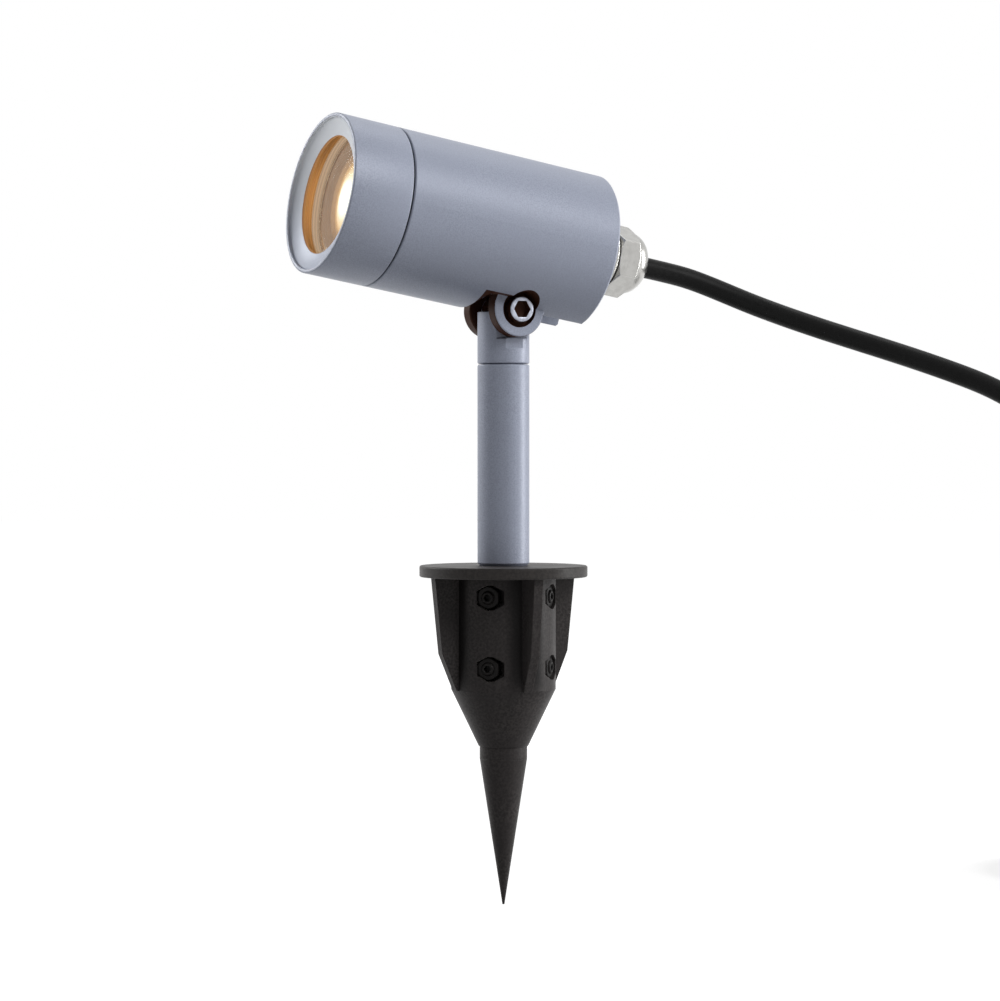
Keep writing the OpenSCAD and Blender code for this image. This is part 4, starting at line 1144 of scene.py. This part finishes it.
soften(shell, 0.0003, angle=35)
relief_line = [(0, 0), (4.6, 0)]
for rib in range(7):
    low = 1.6 + rib * 4
    radius = 5 + rib * 0.37
    relief_line += [(radius, low), (radius + 0.55, low + 0.4), (radius + 0.55, low + 2.2),
                    (radius, low + 2.6)]
relief_line += [(7.5, RELIEF_LEN - 0.4), (7.5, RELIEF_LEN), (0, RELIEF_LEN)]
relief = lathe("plug_relief", relief_line, steps=72, closed=False)
soften(relief, 0.0002, angle=35)
prong = lathe("prong", [
    (0, -4.8), (2, -4.8), (2, 0.3), (PRONG_R, 0.3), (PRONG_R, PRONG_LEN - 1.4),
    (PRONG_R - 0.3, PRONG_LEN - 0.7), (PRONG_R - 1.2, PRONG_LEN), (0, PRONG_LEN),
], steps=40, closed=False)
smooth(prong)
prong_place = Matrix.Translation((PRONG_PITCH / 2 * MM, 0, (RELIEF_LEN + PLUG_LEN) * MM))
prong_two = twin(prong, "prong_two", Matrix.Rotation(math.pi, 4, "Z") @ prong_place)
settle(prong, prong_place)
prongs = join("plug_prongs", [prong, prong_two])
clips = []
for side in (-1, 1):
    low, high = sorted((side * (PLUG_R - SLOT_DEPTH), side * (PLUG_R - SLOT_DEPTH + CLIP_T)))
    clip = block("clip", (-2.3, low, RELIEF_LEN + PLUG_LEN / 2),
                 (2.3, high, RELIEF_LEN + PLUG_LEN))
    soften(clip, 0.0001)
    clips.append(clip)
tabs = join("earth_tabs", clips)
for piece in (shell, relief, prongs, tabs):
    settle(piece, plug_place)
dress(shell, "swivel", plug_rubber, "cable_rubber", "plug_body")
dress(relief, "swivel", plug_rubber, "cable_rubber", "plug_boot")
dress(prongs, "swivel", nickel, "nickel_plate", "plug_pins")
dress(tabs, "swivel", nickel, "nickel_plate", "plug_earth_clips")

# %% [markdown]
# ## The coil's tie
# A rubber band holds the turns together. It is a bar with the section of the
# bundle, rounded by a wide bevel, with a smaller bar cut out of it, so that
# the band keeps an even thickness around the corners.

# %% Make the tie
TIE_T, TIE_HALF = 1.2, 4.5
strand_radii = [COIL_RADIUS + TURN_PITCH * abs(turn + 0.25 - LAYER_TURNS) for turn in range(4)]
inner_x = COIL_CENTRE[0] - max(strand_radii) - FLEX_DIAMETER / MM / 2 - 0.3
outer_x = COIL_CENTRE[0] - min(strand_radii) + FLEX_DIAMETER / MM / 2 + 0.3
low_z, high_z = COIL_FLOOR - 4.08, COIL_FLOOR + LAYER_PITCH + 4.08


def band_bar(name, grow, reach, corner):
    """A bar around the bundle of turns, with its four long edges rounded."""
    bar = block(name, (inner_x - grow, COIL_CENTRE[1] - reach, low_z - grow),
                (outer_x + grow, COIL_CENTRE[1] + reach, high_z + grow))
    edit(bar, "DESELECT")
    bpy.ops.mesh.select_mode(type="EDGE")
    bpy.ops.object.mode_set(mode="OBJECT")
    for edge in bar.data.edges:
        first, second = (bar.data.vertices[i].co for i in edge.vertices)
        edge.select = abs(first.y - second.y) > reach * MM
    bpy.ops.object.mode_set(mode="EDIT")
    bpy.ops.mesh.bevel(offset=corner * MM, segments=6, affect="EDGES")
    let_go()
    return bar


tie = band_bar("coil_band", TIE_T, TIE_HALF, 4)
cut(tie, band_bar("bundle", 0, TIE_HALF + 2, 2.8))
soften(tie, 0.0003, angle=40)
dress(tie, "swivel", seal_rubber, "seal_rubber", "coil_tie")

# %% [markdown]
# ## The nodes that keep their shape
# The housing, the post, the spike and everything inside the head keep their
# CAD shape, which is exact already. They get the finishes on their own
# material slots.

# %% Paint the nodes that keep their shape
paint(paint_head, "head_housing")
paint(paint_plain, "swivel_stem", "post_tube")
paint(nickel, "gland_lock_nut", "lamp_pins")
paint(seal_rubber, "bezel_oring", "gland_seal", "gland_washer")
paint(gasket_with_painted_glow, "glass_gasket")
paint(plug_rubber, "cable_tail")
paint(stainless, "spigot_clip")
paint(plated, "strap_screws", "holder_strap", "post_core")
paint(spike_plastic, "spike_hub", "spike_point")
paint(disc_plastic, "flange_disc")
paint(acetal, "swivel_bush")
paint(lamp_metal, "lamp_reflector")
paint(lamp_plastic, "lamp_base")
paint(ceramic, "lamp_holder")
paint(block_plastic, "terminal_block")
paint(core_plastic, "core_wires")
paint(sleeve_rubber, "lamp_leads")
print("painted the nodes")

# %% [markdown]
# ## The flex
# The flex leaves the gland, which tilts with the head, and the rest of it
# hangs from the swivel. Here it gets the rubber's finish and stands for the
# CAD's cable nodes, and its place is applied to its mesh.

# %% Dress the flex
dress(flex, None, plug_rubber, "cable_rubber", "supply_cable", "cable_coil", "plug_lead")
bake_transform(flex)
